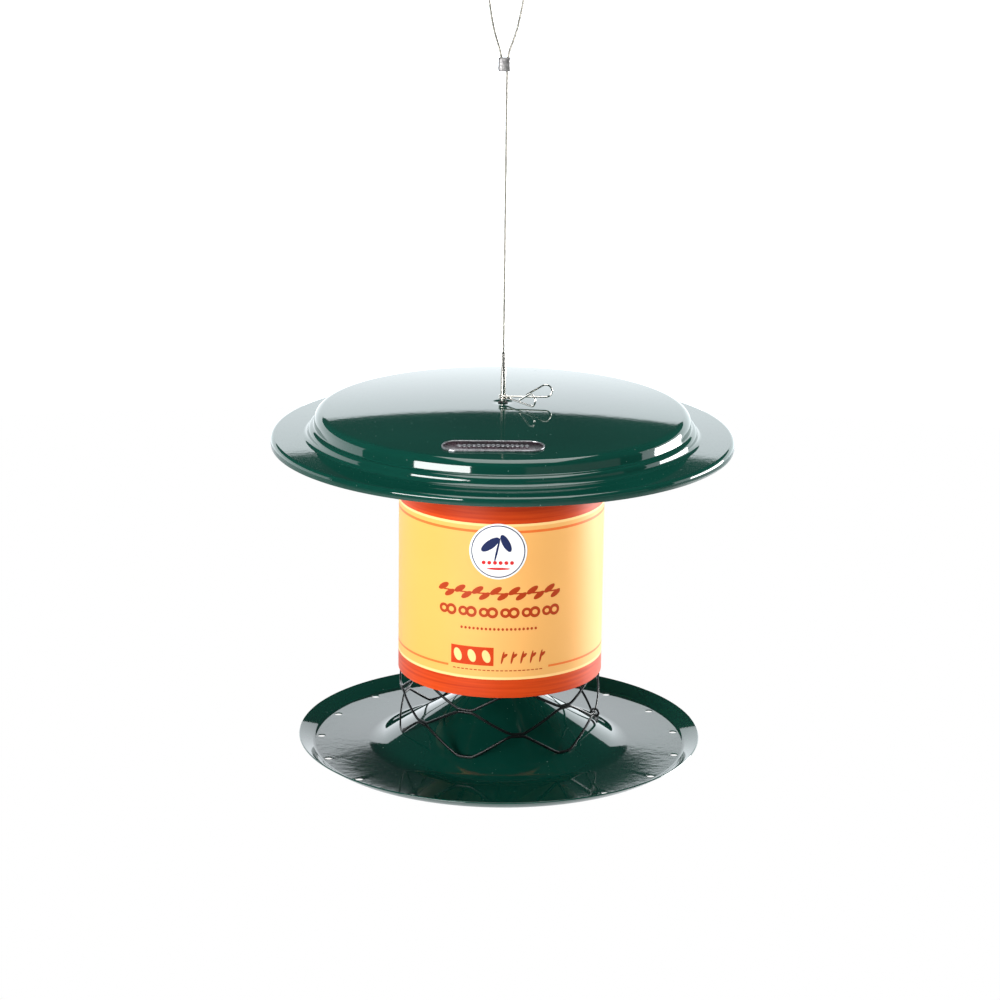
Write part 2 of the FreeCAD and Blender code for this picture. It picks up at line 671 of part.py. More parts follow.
def rope_path(points):
    """Straight runs joined by arcs as large as the shorter run beside each corner allows."""
    edges, radii = [], []
    start = points[0]
    for before, corner, after in zip(points, points[1:], points[2:]):
        shorter = min((before - corner).Length, (after - corner).Length)
        half_turn = (pi - (before - corner).getAngle(after - corner)) / 2
        radii.append(0.45 * shorter / tan(half_turn))
        first, middle, last = corner_arc(before, corner, after, radii[-1])
        edges.append(Part.LineSegment(start, first).toShape())
        edges.append(Part.Arc(first, middle, last).toShape())
        start = last
    edges.append(Part.LineSegment(start, points[-1]).toShape())
    print("rope radii", [round(r, 1) for r in radii])
    return Part.Wire(edges)


def make_rope():
    """The wire rope: one length from the rod, through the ferrule, round the loop and back."""
    path = doc.addObject("Part::Feature", "rope_path")
    path.Shape = rope_path(rope_points())
    section = doc.addObject("Part::Circle", "rope_section")
    bind(section, Radius="rope_diameter / 2", Placement__Base__z=f"{ROD_TOP} - socket_depth")
    rope = doc.addObject("Part::Sweep", "hanger_rope")
    rope.Sections = [section]
    rope.Spine = (path, [f"Edge{i + 1}" for i in range(len(path.Shape.Edges))])
    rope.Solid = True
    rope.Frenet = False
    rope.Label = "hanger_rope"
    doc.recompute()
    expected = pi * ROPE_RADIUS ** 2 * path.Shape.Length
    print("rope length", round(path.Shape.Length, 1), "volume", round(rope.Shape.Volume, 1),
          "expected", round(expected, 1))
    return rope


def make_ferrule():
    """The crimped double-barrel ferrule that closes the loop."""
    ferrule = new_body("ferrule", "-loop_drop - ferrule_length")
    bind(ferrule, Placement__Base__x="-barrel_pitch")
    outline = new_sketch(ferrule, "ferrule_outline", "XY_Plane")
    half, pitch = value("ferrule_depth") / 2, value("barrel_pitch")
    left, right = Vector(0, 0, 0), Vector(pitch, 0, 0)
    outline.addGeometry(Part.ArcOfCircle(Part.Circle(left, Z_AXIS, half), pi / 2, 3 * pi / 2))
    outline.addGeometry(Part.LineSegment(Vector(0, -half, 0), Vector(pitch, -half, 0)))
    outline.addGeometry(Part.ArcOfCircle(Part.Circle(right, Z_AXIS, half), -pi / 2, pi / 2))
    outline.addGeometry(Part.LineSegment(Vector(pitch, half, 0), Vector(0, half, 0)))
    hold(outline, "Tangent", 0, 2, 1, 1)
    hold(outline, "Tangent", 1, 2, 2, 1)
    hold(outline, "Tangent", 2, 2, 3, 1)
    hold(outline, "Tangent", 3, 2, 0, 1)
    hold(outline, "Coincident", 0, 3, -1, 1)
    hold(outline, "PointOnObject", 2, 3, -1)
    hold(outline, "DistanceX", -1, 1, 2, 3, "barrel_pitch")
    hold(outline, "Radius", 0, "ferrule_depth / 2")
    block = ferrule.newObject("PartDesign::Pad", "ferrule_block")
    block.Profile = outline
    bind(block, Length="ferrule_length")
    doc.recompute()
    rims = [f"Edge{i}" for i, edge in enumerate(block.Shape.Edges, 1)
            if abs(edge.BoundBox.ZLength) < 1e-6]
    soft = ferrule.newObject("PartDesign::Fillet", "ferrule_edges")
    soft.Base = (block, rims)
    soft.Radius = 0.6
    doc.recompute()
    drill(ferrule, "left_barrel", "rope_diameter / 2 + skin_gap")
    drill(ferrule, "right_barrel", "rope_diameter / 2 + skin_gap", "barrel_pitch")
    return ferrule


# ---------------------------------------------------------------- clip
def make_clip_leg(label, level, side, turn):
    """One turn of the clip's coil with its straight leg, finger loop and tail."""
    leg = new_body(label, level)
    path = new_sketch(leg, f"{label}_path")
    straight, radius = value("clip_leg"), value("clip_loop_radius")
    slope = value("clip_tail_angle")
    centre = Vector(straight, radius, 0)
    turn_end = radians(90 + slope)
    tail_start = centre + Vector(radius * cos(turn_end), radius * sin(turn_end), 0)
    tail = value("clip_tail")
    away = Vector(-tail * cos(radians(slope)), -tail * sin(radians(slope)), 0)
    path.addGeometry(Part.LineSegment(Vector(0, 0, 0), Vector(straight, 0, 0)))
    path.addGeometry(Part.ArcOfCircle(Part.Circle(centre, Z_AXIS, radius), -pi / 2, turn_end))
    path.addGeometry(Part.LineSegment(tail_start, tail_start + away))
    hold(path, "Coincident", 0, 1, -1, 1)
    hold(path, "Horizontal", 0)
    hold(path, "DistanceX", -1, 1, 0, 2, "clip_leg")
    hold(path, "Tangent", 0, 2, 1, 1)
    hold(path, "Tangent", 1, 2, 2, 1)
    hold(path, "Radius", 1, "clip_loop_radius")
    lean = "(clip_tail_angle * 1 deg)"
    pin_point(path, 2, 2, f"clip_leg - clip_loop_radius * sin{lean} - clip_tail * cos{lean}",
              f"clip_loop_radius + clip_loop_radius * cos{lean} - clip_tail * sin{lean}")
    section = new_sketch(leg, f"{label}_section", "YZ_Plane")
    section.addGeometry(Part.Circle(Vector(0, 0, 0), Z_AXIS, value("clip_wire / 2")))
    hold(section, "Coincident", 0, 3, -1, 1)
    hold(section, "Radius", 0, "clip_wire / 2")
    doc.recompute()
    wire = leg.newObject("PartDesign::AdditivePipe", f"{label}_wire")
    wire.Profile = section
    wire.Spine = (path, ["Edge1", "Edge2", "Edge3"])
    doc.recompute()
    coil = leg.newObject("PartDesign::AdditiveTorus", f"{label}_coil")
    bind(coil, Radius1=COIL_RADIUS, Radius2="clip_wire / 2",
         Placement__Base__y=f"{side} * {COIL_RADIUS}")
    doc.recompute()
    swing = FreeCAD.Rotation(Z_AXIS, turn)
    leg.Placement.Rotation = swing
    shift = swing.multVec(Vector(0, -side, 0))
    bind(leg, Placement__Base__x=f"{shift.x} * {COIL_RADIUS}",
         Placement__Base__y=f"{shift.y} * {COIL_RADIUS}")
    return leg


# ---------------------------------------------------------------- the feeder
def make_all():
    pieces = [make_tray(), make_roof(), make_grommet(), make_nameplate()]
    pieces += make_magnets()
    pieces += [make_mesh(), make_seam_rings()]
    pieces += [tube("label_sleeve", LABEL_OUTSIDE, LABEL_INSIDE, LABEL_HEIGHT, LABEL_LEVEL)]
    pieces += [make_sticker(), make_rod()]
    pieces += make_fasteners()
    pieces += [make_rope(), make_ferrule()]
    pieces += [make_clip_leg("clip_upper_leg", UPPER_LEG_LEVEL, 1, 0)]
    pieces += [make_clip_leg("clip_lower_leg", LOWER_LEG_LEVEL, -1, -value("clip_spread"))]
    doc.recompute()
    return pieces


def check_and_write(pieces):
    for item in doc.Objects:
        if "Invalid" in item.State or "Error" in item.State:
            raise RuntimeError(f"{item.Name} failed: {item.State}")
    os.makedirs("parts", exist_ok=True)
    for piece in pieces:
        shape = piece.Shape
        if shape.isNull() or not shape.isValid() or not shape.Solids:
            raise RuntimeError(f"{piece.Label} has no sound solid")
        shape.exportStep(f"parts/{piece.Label}.step")
        box = shape.BoundBox
        print(f"{piece.Label:16s} solids {len(shape.Solids):2d} volume {shape.Volume:9.1f}"
              f"  z {box.ZMin:8.2f} to {box.ZMax:8.2f}")


check_and_write(make_all())
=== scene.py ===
import random
from math import atan2, ceil, cos, pi, radians, sin, tan

import bpy
from mathutils import Matrix, Vector


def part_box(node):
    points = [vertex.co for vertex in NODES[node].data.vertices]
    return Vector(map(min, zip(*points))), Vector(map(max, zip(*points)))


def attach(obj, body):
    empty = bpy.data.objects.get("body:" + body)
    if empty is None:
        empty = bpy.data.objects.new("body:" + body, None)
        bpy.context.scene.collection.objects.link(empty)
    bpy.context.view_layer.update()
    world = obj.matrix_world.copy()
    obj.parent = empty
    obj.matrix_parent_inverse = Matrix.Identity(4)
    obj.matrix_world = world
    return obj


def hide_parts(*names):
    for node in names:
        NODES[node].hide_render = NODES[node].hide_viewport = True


# Hanging nut feeder: the look of each piece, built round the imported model.
# Metres, +Z up, origin at the inside top of the hanging loop, -Y the label's front.

bl_info = {
    "name": "Hanging nut feeder",
    "version": (1, 0, 0),
    "blender": (4, 5, 0),
    "location": "View3D > Sidebar > Feeder",
    "description": "Builds the coats, wires, rope and printed card of a hanging nut feeder",
    "category": "Object",
}

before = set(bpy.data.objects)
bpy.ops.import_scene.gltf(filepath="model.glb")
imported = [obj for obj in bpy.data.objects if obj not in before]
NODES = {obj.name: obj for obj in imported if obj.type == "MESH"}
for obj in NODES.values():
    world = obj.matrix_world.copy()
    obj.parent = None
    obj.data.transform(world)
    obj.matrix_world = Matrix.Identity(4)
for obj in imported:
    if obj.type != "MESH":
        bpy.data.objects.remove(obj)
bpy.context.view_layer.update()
MM = 0.001
FULL_TURN = 2 * pi

ROOF_LOW, ROOF_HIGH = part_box("roof")
TRAY_LOW, TRAY_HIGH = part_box("tray")
MESH_LOW, MESH_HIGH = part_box("mesh_cylinder")
SLEEVE_LOW, SLEEVE_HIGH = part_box("label_sleeve")
PLATE_LOW, PLATE_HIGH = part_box("nameplate")
STICKER_LOW, STICKER_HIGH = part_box("round_sticker")
FERRULE_LOW, FERRULE_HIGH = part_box("ferrule")

FINISHES = {}


# ---------------------------------------------------------------- settings
def length(name, default, description):
    return bpy.props.FloatProperty(name=name, default=default, description=description,
                                   unit="LENGTH", precision=5)


def rotation(name, degrees, description):
    return bpy.props.FloatProperty(name=name, default=radians(degrees), description=description,
                                   unit="ROTATION", precision=5)


def colour(name, default, description):
    return bpy.props.FloatVectorProperty(name=name, default=default, description=description,
                                         subtype="COLOR", size=3, min=0, max=1)


class FeederSizes(bpy.types.PropertyGroup):
    sheet: length("Sheet steel", 0.9 * MM, "Wall of the pressed roof and tray")
    edge_break: length("Edge break", 0.18 * MM, "Bevel on the sheet's cut edges")
    dome_radius: length("Dome radius", 1300 * MM, "Radius of the roof's shallow dome")
    dome_reach: length("Dome reach", 123.3 * MM, "From the rod to the corner of the dome")
    dome_bend: length("Dome bend", 6 * MM, "Radius of that corner")
    roof_hole: length("Roof hole", 2.6 * MM, "Radius of the hole for the rod")
    crease_height: length("Crease height", 12.5 * MM, "From the lip's edge to the upper crease")
    ledge_width: length("Ledge width", 3.2 * MM, "Upper crease to the step")
    step_height: length("Step height", 11.4 * MM, "From the lip's edge to the step")
    step_width: length("Step width", 1.2 * MM, "Step to the foot of the brim")
    brim_width: length("Brim width", 23.8 * MM, "Foot of the brim to the roof's edge")
    brim_foot: length("Brim foot", 6.2 * MM, "Height of the brim's inner side over the lip's edge")
    brim_edge: length("Brim edge", 5.85 * MM, "Height of the brim's outer side over the lip's edge")
    plate_height: length("Plate height", 1.3 * MM, "Thickness of the nameplate")
    plate_rim: length("Plate rim", 0.8 * MM, "Width of the nameplate's rim")
    plate_sink: length("Plate sink", 0.55 * MM, "Depth of the nameplate's face below its rim")
    seat_hole: length("Seat hole", 1.95 * MM, "Radius of the rod's hole in the tray")
    seat_radius: length("Seat", 11 * MM, "Radius of the flat at the cone's top")
    cone_radius: length("Cone", 82 * MM, "Radius of the cone's foot")
    floor_radius: length("Tray floor", 124.5 * MM, "Radius of the tray's flat floor")
    flange_width: length("Flange width", 9.6 * MM, "Floor's edge to the flange's edge")
    flange_rise: length("Flange rise", 6.4 * MM, "Height of the flange's edge over the floor")
    drain_radius: length("Drain hole", 2.75 * MM, "Radius of each drain hole")
    drain_ring: length("Drain ring", 119.9 * MM, "From the rod to each drain hole")
    drain_count: bpy.props.IntProperty(name="Drain holes", default=17, description="Round the tray")
    first_drain: rotation("First drain", 99, "Turn of the first drain hole from the front")
    strand: length("Strand", 1.9 * MM, "Width of a strand of the expanded metal")
    strand_flat: length("Strand flat", 0.7 * MM, "Flat between the rounded edges of a strand")
    strand_depth: length("Strand depth", 0.65 * MM, "Outside of the mesh to its strands' middles")
    row_pitch: length("Row pitch", 15.4 * MM, "Height of half a diamond")
    bond: length("Bond", 9.0 * MM, "Length of the joint between two diamonds")
    bond_spread: length("Bond spread", 0.8 * MM, "Middle of a bond to each of its strands")
    mesh_turn: rotation("Mesh turn", -19.5, "Turn of the first bond from the front")
    columns: bpy.props.IntProperty(name="Columns", default=6, description="Diamonds round the mesh")
    rows: bpy.props.IntProperty(name="Rows", default=14, description="Half diamonds up the mesh")
    card: length("Card", 0.5 * MM, "Thickness of the printed sleeve")
    lap: length("Lap", 0.35 * MM, "Height of the card's lap over the sleeve")
    lap_start: rotation("Lap start", 158, "Turn of the lap's first edge from the front")
    lap_end: rotation("Lap end", 172, "Turn of the lap's last edge from the front")
    sticker: length("Sticker", 0.22 * MM, "Thickness of the round sticker")
    rope: length("Rope", 1.6 * MM, "Diameter of the wire rope")
    rope_lay: length("Rope lay", 9.5 * MM, "Rope length for one turn of a strand")


class FeederColours(bpy.types.PropertyGroup):
    green: colour("Green", (0.0025, 0.040, 0.028), "Powder coat of roof and tray")
    strand: colour("Strand", (0.001, 0.0018, 0.0017), "Coat of the expanded metal")
    panel: colour("Panel", (0.85, 0.43, 0.127), "Middle of the printed sleeve")
    band: colour("Band", (0.58, 0.040, 0.002), "Bands of the sleeve")
    ink: colour("Ink", (0.42, 0.040, 0.006), "Ornaments of the sleeve")
    line: colour("Line", (1.0, 0.62, 0.25), "Pale line beside each band")
    steel: colour("Steel", (0.72, 0.69, 0.64), "Rod, clip and nuts")


class FeederStudio(bpy.types.PropertyGroup):
    backdrop: bpy.props.FloatProperty(name="Backdrop", default=2.35, description="Its radiance")
    backdrop_top: length("Backdrop top", 0.675, "Height of its upper edge")
    backdrop_radius: length("Backdrop radius", 3.2, "From the feeder")
    floor_drop: length("Floor", 0.6, "Depth of the floor below the feeder's tray")


# ---------------------------------------------------------------- modelling helpers
def clear_selection():
    if bpy.context.mode != "OBJECT":
        bpy.ops.object.mode_set(mode="OBJECT")
    bpy.ops.object.select_all(action="DESELECT")


def pick(piece):
    clear_selection()
    piece.select_set(True)
    bpy.context.view_layer.objects.active = piece


def added(name):
    """Names the object that the last operator added."""
    piece = bpy.context.object
    piece.name = piece.data.name = name
    return piece


def place_in_mesh(piece):
    """Leaves the object at the origin, unturned and unscaled, with its place in its mesh."""
    pick(piece)
    bpy.ops.object.transform_apply(location=True, rotation=True, scale=True)


def with_modifier(piece, kind, **settings):
    pick(piece)
    modifier = piece.modifiers.new(kind.lower(), kind)
    for name, setting in settings.items():
        setattr(modifier, name, setting)
    bpy.ops.object.modifier_apply(modifier=modifier.name)


def faces_up(piece):
    """Merges doubles and turns an open shell's faces so that its top looks up."""
    pick(piece)
    bpy.ops.object.mode_set(mode="EDIT")
    bpy.ops.mesh.select_all(action="SELECT")
    bpy.ops.mesh.remove_doubles(threshold=0.002 * MM)
    bpy.ops.mesh.normals_make_consistent(inside=False)
    bpy.ops.object.mode_set(mode="OBJECT")
    if sum(face.normal.z * face.area for face in piece.data.polygons) < 0:
        bpy.ops.object.mode_set(mode="EDIT")
        bpy.ops.mesh.flip_normals()
        bpy.ops.object.mode_set(mode="OBJECT")


def cut_faces(piece, unwanted):
    """Deletes the faces for which unwanted(face) is true."""
    pick(piece)
    bpy.ops.object.mode_set(mode="EDIT")
    bpy.ops.mesh.select_mode(type="FACE")
    bpy.ops.mesh.select_all(action="DESELECT")
    bpy.ops.object.mode_set(mode="OBJECT")
    for face in piece.data.polygons:
        face.select = unwanted(face)
    bpy.ops.object.mode_set(mode="EDIT")
    bpy.ops.mesh.delete(type="FACE")
    bpy.ops.mesh.select_mode(type="VERT")
    bpy.ops.object.mode_set(mode="OBJECT")


def join(name, pieces):
    clear_selection()
    for piece in pieces:
        piece.select_set(True)
    bpy.context.view_layer.objects.active = pieces[0]
    bpy.ops.object.join()
    return added(name)


def copied(piece, shift):
    """A copy with a mesh of its own, moved by a shift."""
    twin = piece.copy()
    twin.data = piece.data.copy()
    twin.data.transform(Matrix.Translation(shift))
    bpy.context.scene.collection.objects.link(twin)
    return twin


def dress(piece, body, finish, slot, *stands_for):
    """The last step of each new piece: its finish, its body and what it stands for. The slot is not used."""
    place_in_mesh(piece)
    if not piece.data.materials:
        piece.data.materials.append(finish)
    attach(piece, body)
    if stands_for:
        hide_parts(*stands_for)


def rounded(corners, step=radians(6)):
    """The outline through corners, each (x, z, bend radius), with its bends as arcs."""
    spots = [Vector((x, 0, z)) for x, z, bend in corners]
    outline = [spots[0]]
    for before, corner, after, bend in zip(spots, spots[1:], spots[2:], [c[2] for c in corners[1:]]):
        back, ahead = (before - corner).normalized(), (after - corner).normalized()
        turn = pi - back.angle(ahead)
        if bend == 0 or turn < 1e-4:
            outline.append(corner)
            continue
        centre = corner + (back + ahead).normalized() * bend / cos(turn / 2)
        first = corner + back * bend * tan(turn / 2) - centre
        axis = back.cross(ahead).normalized()
        count = max(2, ceil(turn / step))
        outline += [centre + Matrix.Rotation(-turn * i / count, 3, axis) @ first for i in range(count + 1)]
    return outline + [spots[-1]]


def lathe(name, outline, steps=192):
    """A turned shell: the outline is drawn by extruding one vertex, and spun about the rod."""
    clear_selection()
    bpy.ops.mesh.primitive_plane_add(size=MM, location=outline[0])
    piece = added(name)
    bpy.ops.object.mode_set(mode="EDIT")
    bpy.ops.mesh.merge(type="CENTER")
    for before, after in zip(outline, outline[1:]):
        bpy.ops.mesh.extrude_region_move(TRANSFORM_OT_translate={"value": after - before})
    bpy.ops.mesh.select_all(action="SELECT")
    bpy.ops.mesh.spin(steps=steps, angle=FULL_TURN, center=(0, 0, 0), axis=(0, 0, 1))
    bpy.ops.object.mode_set(mode="OBJECT")
    faces_up(piece)
    return piece


def pressed(shell, sizes):
    """Gives an open shell the thickness of its sheet and breaks the cut edges."""
    with_modifier(shell, "SOLIDIFY", thickness=sizes.sheet, offset=-1)
    with_modifier(shell, "BEVEL", width=sizes.edge_break, segments=2, limit_method="ANGLE",
                  angle_limit=radians(50))


def drawn_line(name, points, thickness, kind="POLY"):
    """A line with a round section, drawn vertex by vertex in edit mode."""
    clear_selection()
    bpy.ops.curve.primitive_nurbs_path_add()
    piece = added(name)
    bpy.ops.object.mode_set(mode="EDIT")
    bpy.ops.curve.select_all(action="SELECT")
    bpy.ops.curve.delete(type="VERT")
    for point in points:
        bpy.ops.curve.vertex_add(location=point)
    bpy.ops.curve.select_all(action="SELECT")
    bpy.ops.curve.spline_type_set(type="POLY")
    if kind != "POLY":
        bpy.ops.curve.spline_type_set(type=kind)
    bpy.ops.object.mode_set(mode="OBJECT")
    piece.data.dimensions = "3D"
    piece.data.bevel_depth = thickness / 2
    return piece


def ring_wire(name, points, thickness):
    """A closed wire whose points are the control points of a NURBS curve."""
    piece = drawn_line(name, points, thickness, "NURBS")
    piece.data.splines[0].use_cyclic_u = True
    piece.data.splines[0].order_u = 3
    piece.data.bevel_resolution = 2
    return piece


def as_mesh(piece):
    pick(piece)
    bpy.ops.object.convert(target="MESH")
    return bpy.context.object


def pill(name, wide, deep, corners):
    """A flat face with round ends, lying level at the origin."""
    clear_selection()
    bpy.ops.mesh.primitive_circle_add(vertices=corners, radius=deep / 2, fill_type="NGON",
                                      rotation=(0, 0, pi / corners))
    piece = added(name)
    place_in_mesh(piece)
    for vertex in piece.data.vertices:
        vertex.co.x += (wide - deep) / 2 * (1 if vertex.co.x > 0 else -1)
    return piece


def around(turn, radius, height):
    """The point at a radius, turned from the front towards the right."""
    return Vector((radius * sin(turn), -radius * cos(turn), height))


# ---------------------------------------------------------------- material helpers
def new_finish(name):
    finish = bpy.data.materials.new(name)
    finish.use_nodes = True
    return finish, finish.node_tree, finish.node_tree.nodes["Principled BSDF"]


def node(tree, kind, sockets=None, **settings):
    made = tree.nodes.new(f"ShaderNode{kind}")
    for name, setting in settings.items():
        setattr(made, name, setting)
    for name, source in (sockets or {}).items():
        if isinstance(source, bpy.types.NodeSocket):
            tree.links.new(source, made.inputs[name])
        else:
            made.inputs[name].default_value = source
    return made


def reckon(tree, operation, *sources):
    made = node(tree, "Math", operation=operation)
    for socket, source in zip(made.inputs, sources):
        if isinstance(source, bpy.types.NodeSocket):
            tree.links.new(source, socket)
        else:
            socket.default_value = source
    return made.outputs[0]


def blend(tree, share, first, second):
    """A colour mixed from two, each a socket or three numbers."""
    made = node(tree, "Mix", {"Factor": share}, data_type="RGBA")
    for socket, source in ((made.inputs[6], first), (made.inputs[7], second)):
        if isinstance(source, bpy.types.NodeSocket):
            tree.links.new(source, socket)
        else:
            socket.default_value = (*source, 1)
    return made.outputs[2]


def grain(tree, scale, detail=2.0, stretch=(1, 1, 1), roughness=0.5):
    """Noise in the object's own coordinates, stretched along its axes."""
    place = node(tree, "TexCoord").outputs["Object"]
    mapped = node(tree, "Mapping", {"Vector": place, "Scale": stretch}).outputs[0]
    noise = node(tree, "TexNoise", {"Vector": mapped, "Scale": scale, "Detail": detail,
                                    "Roughness": roughness})
    return noise.outputs["Fac"]


def relief(tree, shader, height, depth):
    bump = node(tree, "Bump", {"Height": height, "Distance": depth, "Strength": 1.0})
    tree.links.new(bump.outputs[0], shader.inputs["Normal"])


def ramp(tree, source, low, high, floor=0.0, top=1.0):
    made = node(tree, "MapRange", {"Value": source, "From Min": low, "From Max": high,
                                   "To Min": floor, "To Max": top})
    return made.outputs[0]


# ---------------------------------------------------------------- materials
def powder_coat(name, tint, peel_depth):
    """Gloss powder coat: orange peel, faint mottling and a few pale specks of dust."""
    finish, tree, shader = new_finish(name)
    mottle = ramp(tree, grain(tree, 9, 3), 0.3, 0.7)
    specks = ramp(tree, grain(tree, 900, 0), 0.86, 0.88)
    dark, pale = [c * 0.85 for c in tint], [c * 1.15 for c in tint]
    coat = blend(tree, mottle, dark, pale)
    tree.links.new(blend(tree, specks, coat, (0.10, 0.16, 0.14)), shader.inputs["Base Color"])
    tree.links.new(ramp(tree, specks, 0, 1, 0.045, 0.4), shader.inputs["Roughness"])
    shader.inputs["IOR"].default_value = 1.5
    relief(tree, shader, grain(tree, 200, 3, roughness=0.55), peel_depth)
    return finish


def dipped_coat(name, tint):
    """The thicker, softer coat of the expanded metal."""
    finish, tree, shader = new_finish(name)
    shade = blend(tree, ramp(tree, grain(tree, 60, 3), 0.3, 0.7), tint, [c * 2.2 for c in tint])
    tree.links.new(shade, shader.inputs["Base Color"])
    tree.links.new(ramp(tree, grain(tree, 150, 2), 0.3, 0.7, 0.2, 0.36), shader.inputs["Roughness"])
    shader.inputs["Specular IOR Level"].default_value = 0.25
    relief(tree, shader, grain(tree, 700, 2), 0.00001)
    return finish


def drawn_steel(name, tint, roughness, stretch):
    """Bright metal with fine lines along the way that it was drawn."""
    finish, tree, shader = new_finish(name)
    lines = grain(tree, 900, 2, stretch)
    stain = ramp(tree, grain(tree, 120, 3), 0.35, 0.75)
    tree.links.new(blend(tree, stain, tint, [c * 0.72 for c in tint]), shader.inputs["Base Color"])
    shader.inputs["Metallic"].default_value = 1.0
    tree.links.new(ramp(tree, lines, 0.3, 0.7, roughness * 0.7, roughness * 1.4),
                   shader.inputs["Roughness"])
    relief(tree, shader, lines, 0.00001)
    return finish


def rough_metal(name, tint, roughness, depth):
    """Cast or crimped soft metal: dull, dented and unevenly bright."""
    finish, tree, shader = new_finish(name)
    dents = grain(tree, 520, 3)
    tree.links.new(blend(tree, ramp(tree, dents, 0.35, 0.7), [c * 0.6 for c in tint], tint),
                   shader.inputs["Base Color"])
    shader.inputs["Metallic"].default_value = 1.0
    tree.links.new(ramp(tree, grain(tree, 1500, 2), 0.3, 0.7, roughness * 0.8, roughness * 1.3),
                   shader.inputs["Roughness"])
    relief(tree, shader, dents, depth)
    return finish


def black_rubber(name):
    finish, tree, shader = new_finish(name)
    shade = blend(tree, grain(tree, 300, 3), (0.012, 0.012, 0.012), (0.03, 0.03, 0.03))
    tree.links.new(shade, shader.inputs["Base Color"])
    tree.links.new(ramp(tree, grain(tree, 800, 2), 0.3, 0.7, 0.5, 0.75), shader.inputs["Roughness"])
    relief(tree, shader, grain(tree, 2500, 2), 0.00002)
    return finish


def enamel(name):
    """The nameplate's dark face, with a trace of maroon."""
    finish, tree, shader = new_finish(name)
    shade = blend(tree, ramp(tree, grain(tree, 90, 2), 0.35, 0.65), (0.010, 0.006, 0.008),
                  (0.035, 0.010, 0.018))
    tree.links.new(shade, shader.inputs["Base Color"])
    tree.links.new(ramp(tree, grain(tree, 1200, 2), 0.3, 0.7, 0.22, 0.38), shader.inputs["Roughness"])
    relief(tree, shader, grain(tree, 2500, 2), 0.00001)
    return finish


class Print:
    """Flat print on a card bent round the rod: masks in millimetres of arc and height."""

    def __init__(self, tree, radius, base):
        self.tree = tree
        split = node(tree, "SeparateXYZ", {"Vector": node(tree, "TexCoord").outputs["Object"]})
        x, y, z = split.outputs
        turn = reckon(tree, "ARCTAN2", x, reckon(tree, "MULTIPLY", y, -1.0))
        self.arc = reckon(tree, "MULTIPLY", turn, radius / MM)
        self.height = reckon(tree, "MULTIPLY", reckon(tree, "SUBTRACT", z, base), 1 / MM)
        out = reckon(tree, "ADD", reckon(tree, "MULTIPLY", x, x), reckon(tree, "MULTIPLY", y, y))
        self.from_rod = reckon(tree, "SQRT", out)

    def within(self, source, low, high):
        """1 where the source lies between two values."""
        above = reckon(self.tree, "GREATER_THAN", source, low)
        return reckon(self.tree, "MULTIPLY", above, reckon(self.tree, "LESS_THAN", source, high))

    def both(self, first, second):
        return reckon(self.tree, "MULTIPLY", first, second)

    def either(self, *masks):
        joined = masks[0]
        for mask in masks[1:]:
            joined = reckon(self.tree, "MAXIMUM", joined, mask)
        return joined

    def repeat(self, low, high, count):
        """Distance along the arc from the middle of the nearest of count equal cells."""
        pitch = (high - low) / count
        cell = reckon(self.tree, "FRACT", reckon(self.tree, "DIVIDE",
                                                 reckon(self.tree, "SUBTRACT", self.arc, low), pitch))
        return reckon(self.tree, "MULTIPLY", reckon(self.tree, "SUBTRACT", cell, 0.5), pitch)

    def oval(self, along, up, wide, tall, lean=0.0):
        """1 inside an oval with those half sizes, leaning by an angle."""
        tree = self.tree
        lean = radians(lean)
        u = reckon(tree, "ADD", reckon(tree, "MULTIPLY", along, cos(lean) / wide),
                   reckon(tree, "MULTIPLY", up, sin(lean) / wide))
        v = reckon(tree, "SUBTRACT", reckon(tree, "MULTIPLY", up, cos(lean) / tall),
                   reckon(tree, "MULTIPLY", along, sin(lean) / tall))
        size = reckon(tree, "ADD", reckon(tree, "MULTIPLY", u, u), reckon(tree, "MULTIPLY", v, v))
        return reckon(tree, "LESS_THAN", size, 1.0)

    def shifted(self, source, by):
        return reckon(self.tree, "SUBTRACT", source, by)

    def outside(self, mask):
        return reckon(self.tree, "SUBTRACT", 1.0, mask)


def leaf_row(card, low, high, level):
    """Seven pairs of leaning leaves on one stem."""
    cell, up = card.repeat(low, high, 7), card.shifted(card.height, level)
    return card.either(card.oval(card.shifted(cell, -2.0), card.shifted(up, 1.9), 4.4, 1.9, 32),
                       card.oval(card.shifted(cell, 2.6), card.shifted(up, -1.9), 4.2, 1.8, 32),
                       card.within(up, -0.5, 0.5))


def nut_row(card, low, high, level):
    """Six nuts in their shells, each with two pale kernels."""
    cell, up = card.repeat(low, high, 6), card.shifted(card.height, level)
    left, right = card.shifted(cell, -2.7), card.shifted(cell, 2.9)
    shells = card.either(card.oval(left, up, 3.4, 3.3), card.oval(right, up, 3.7, 3.8),
                         card.oval(cell, up, 2.8, 2.3))
    kernels = card.either(card.oval(left, up, 1.5, 1.4), card.oval(right, up, 1.8, 1.7))
    return card.both(shells, card.outside(kernels))


def sprig_row(card, low, high, level):
    """Five sprigs, each with a side shoot."""
    cell, up = card.repeat(low, high, 5), card.shifted(card.height, level)
    sprigs = card.either(card.oval(card.shifted(cell, -0.3), up, 0.75, 4.4, -12),
                         card.oval(card.shifted(cell, 1.1), card.shifted(up, 1.2), 2.2, 1.0, 40))
    return card.both(sprigs, card.within(card.arc, low, high))


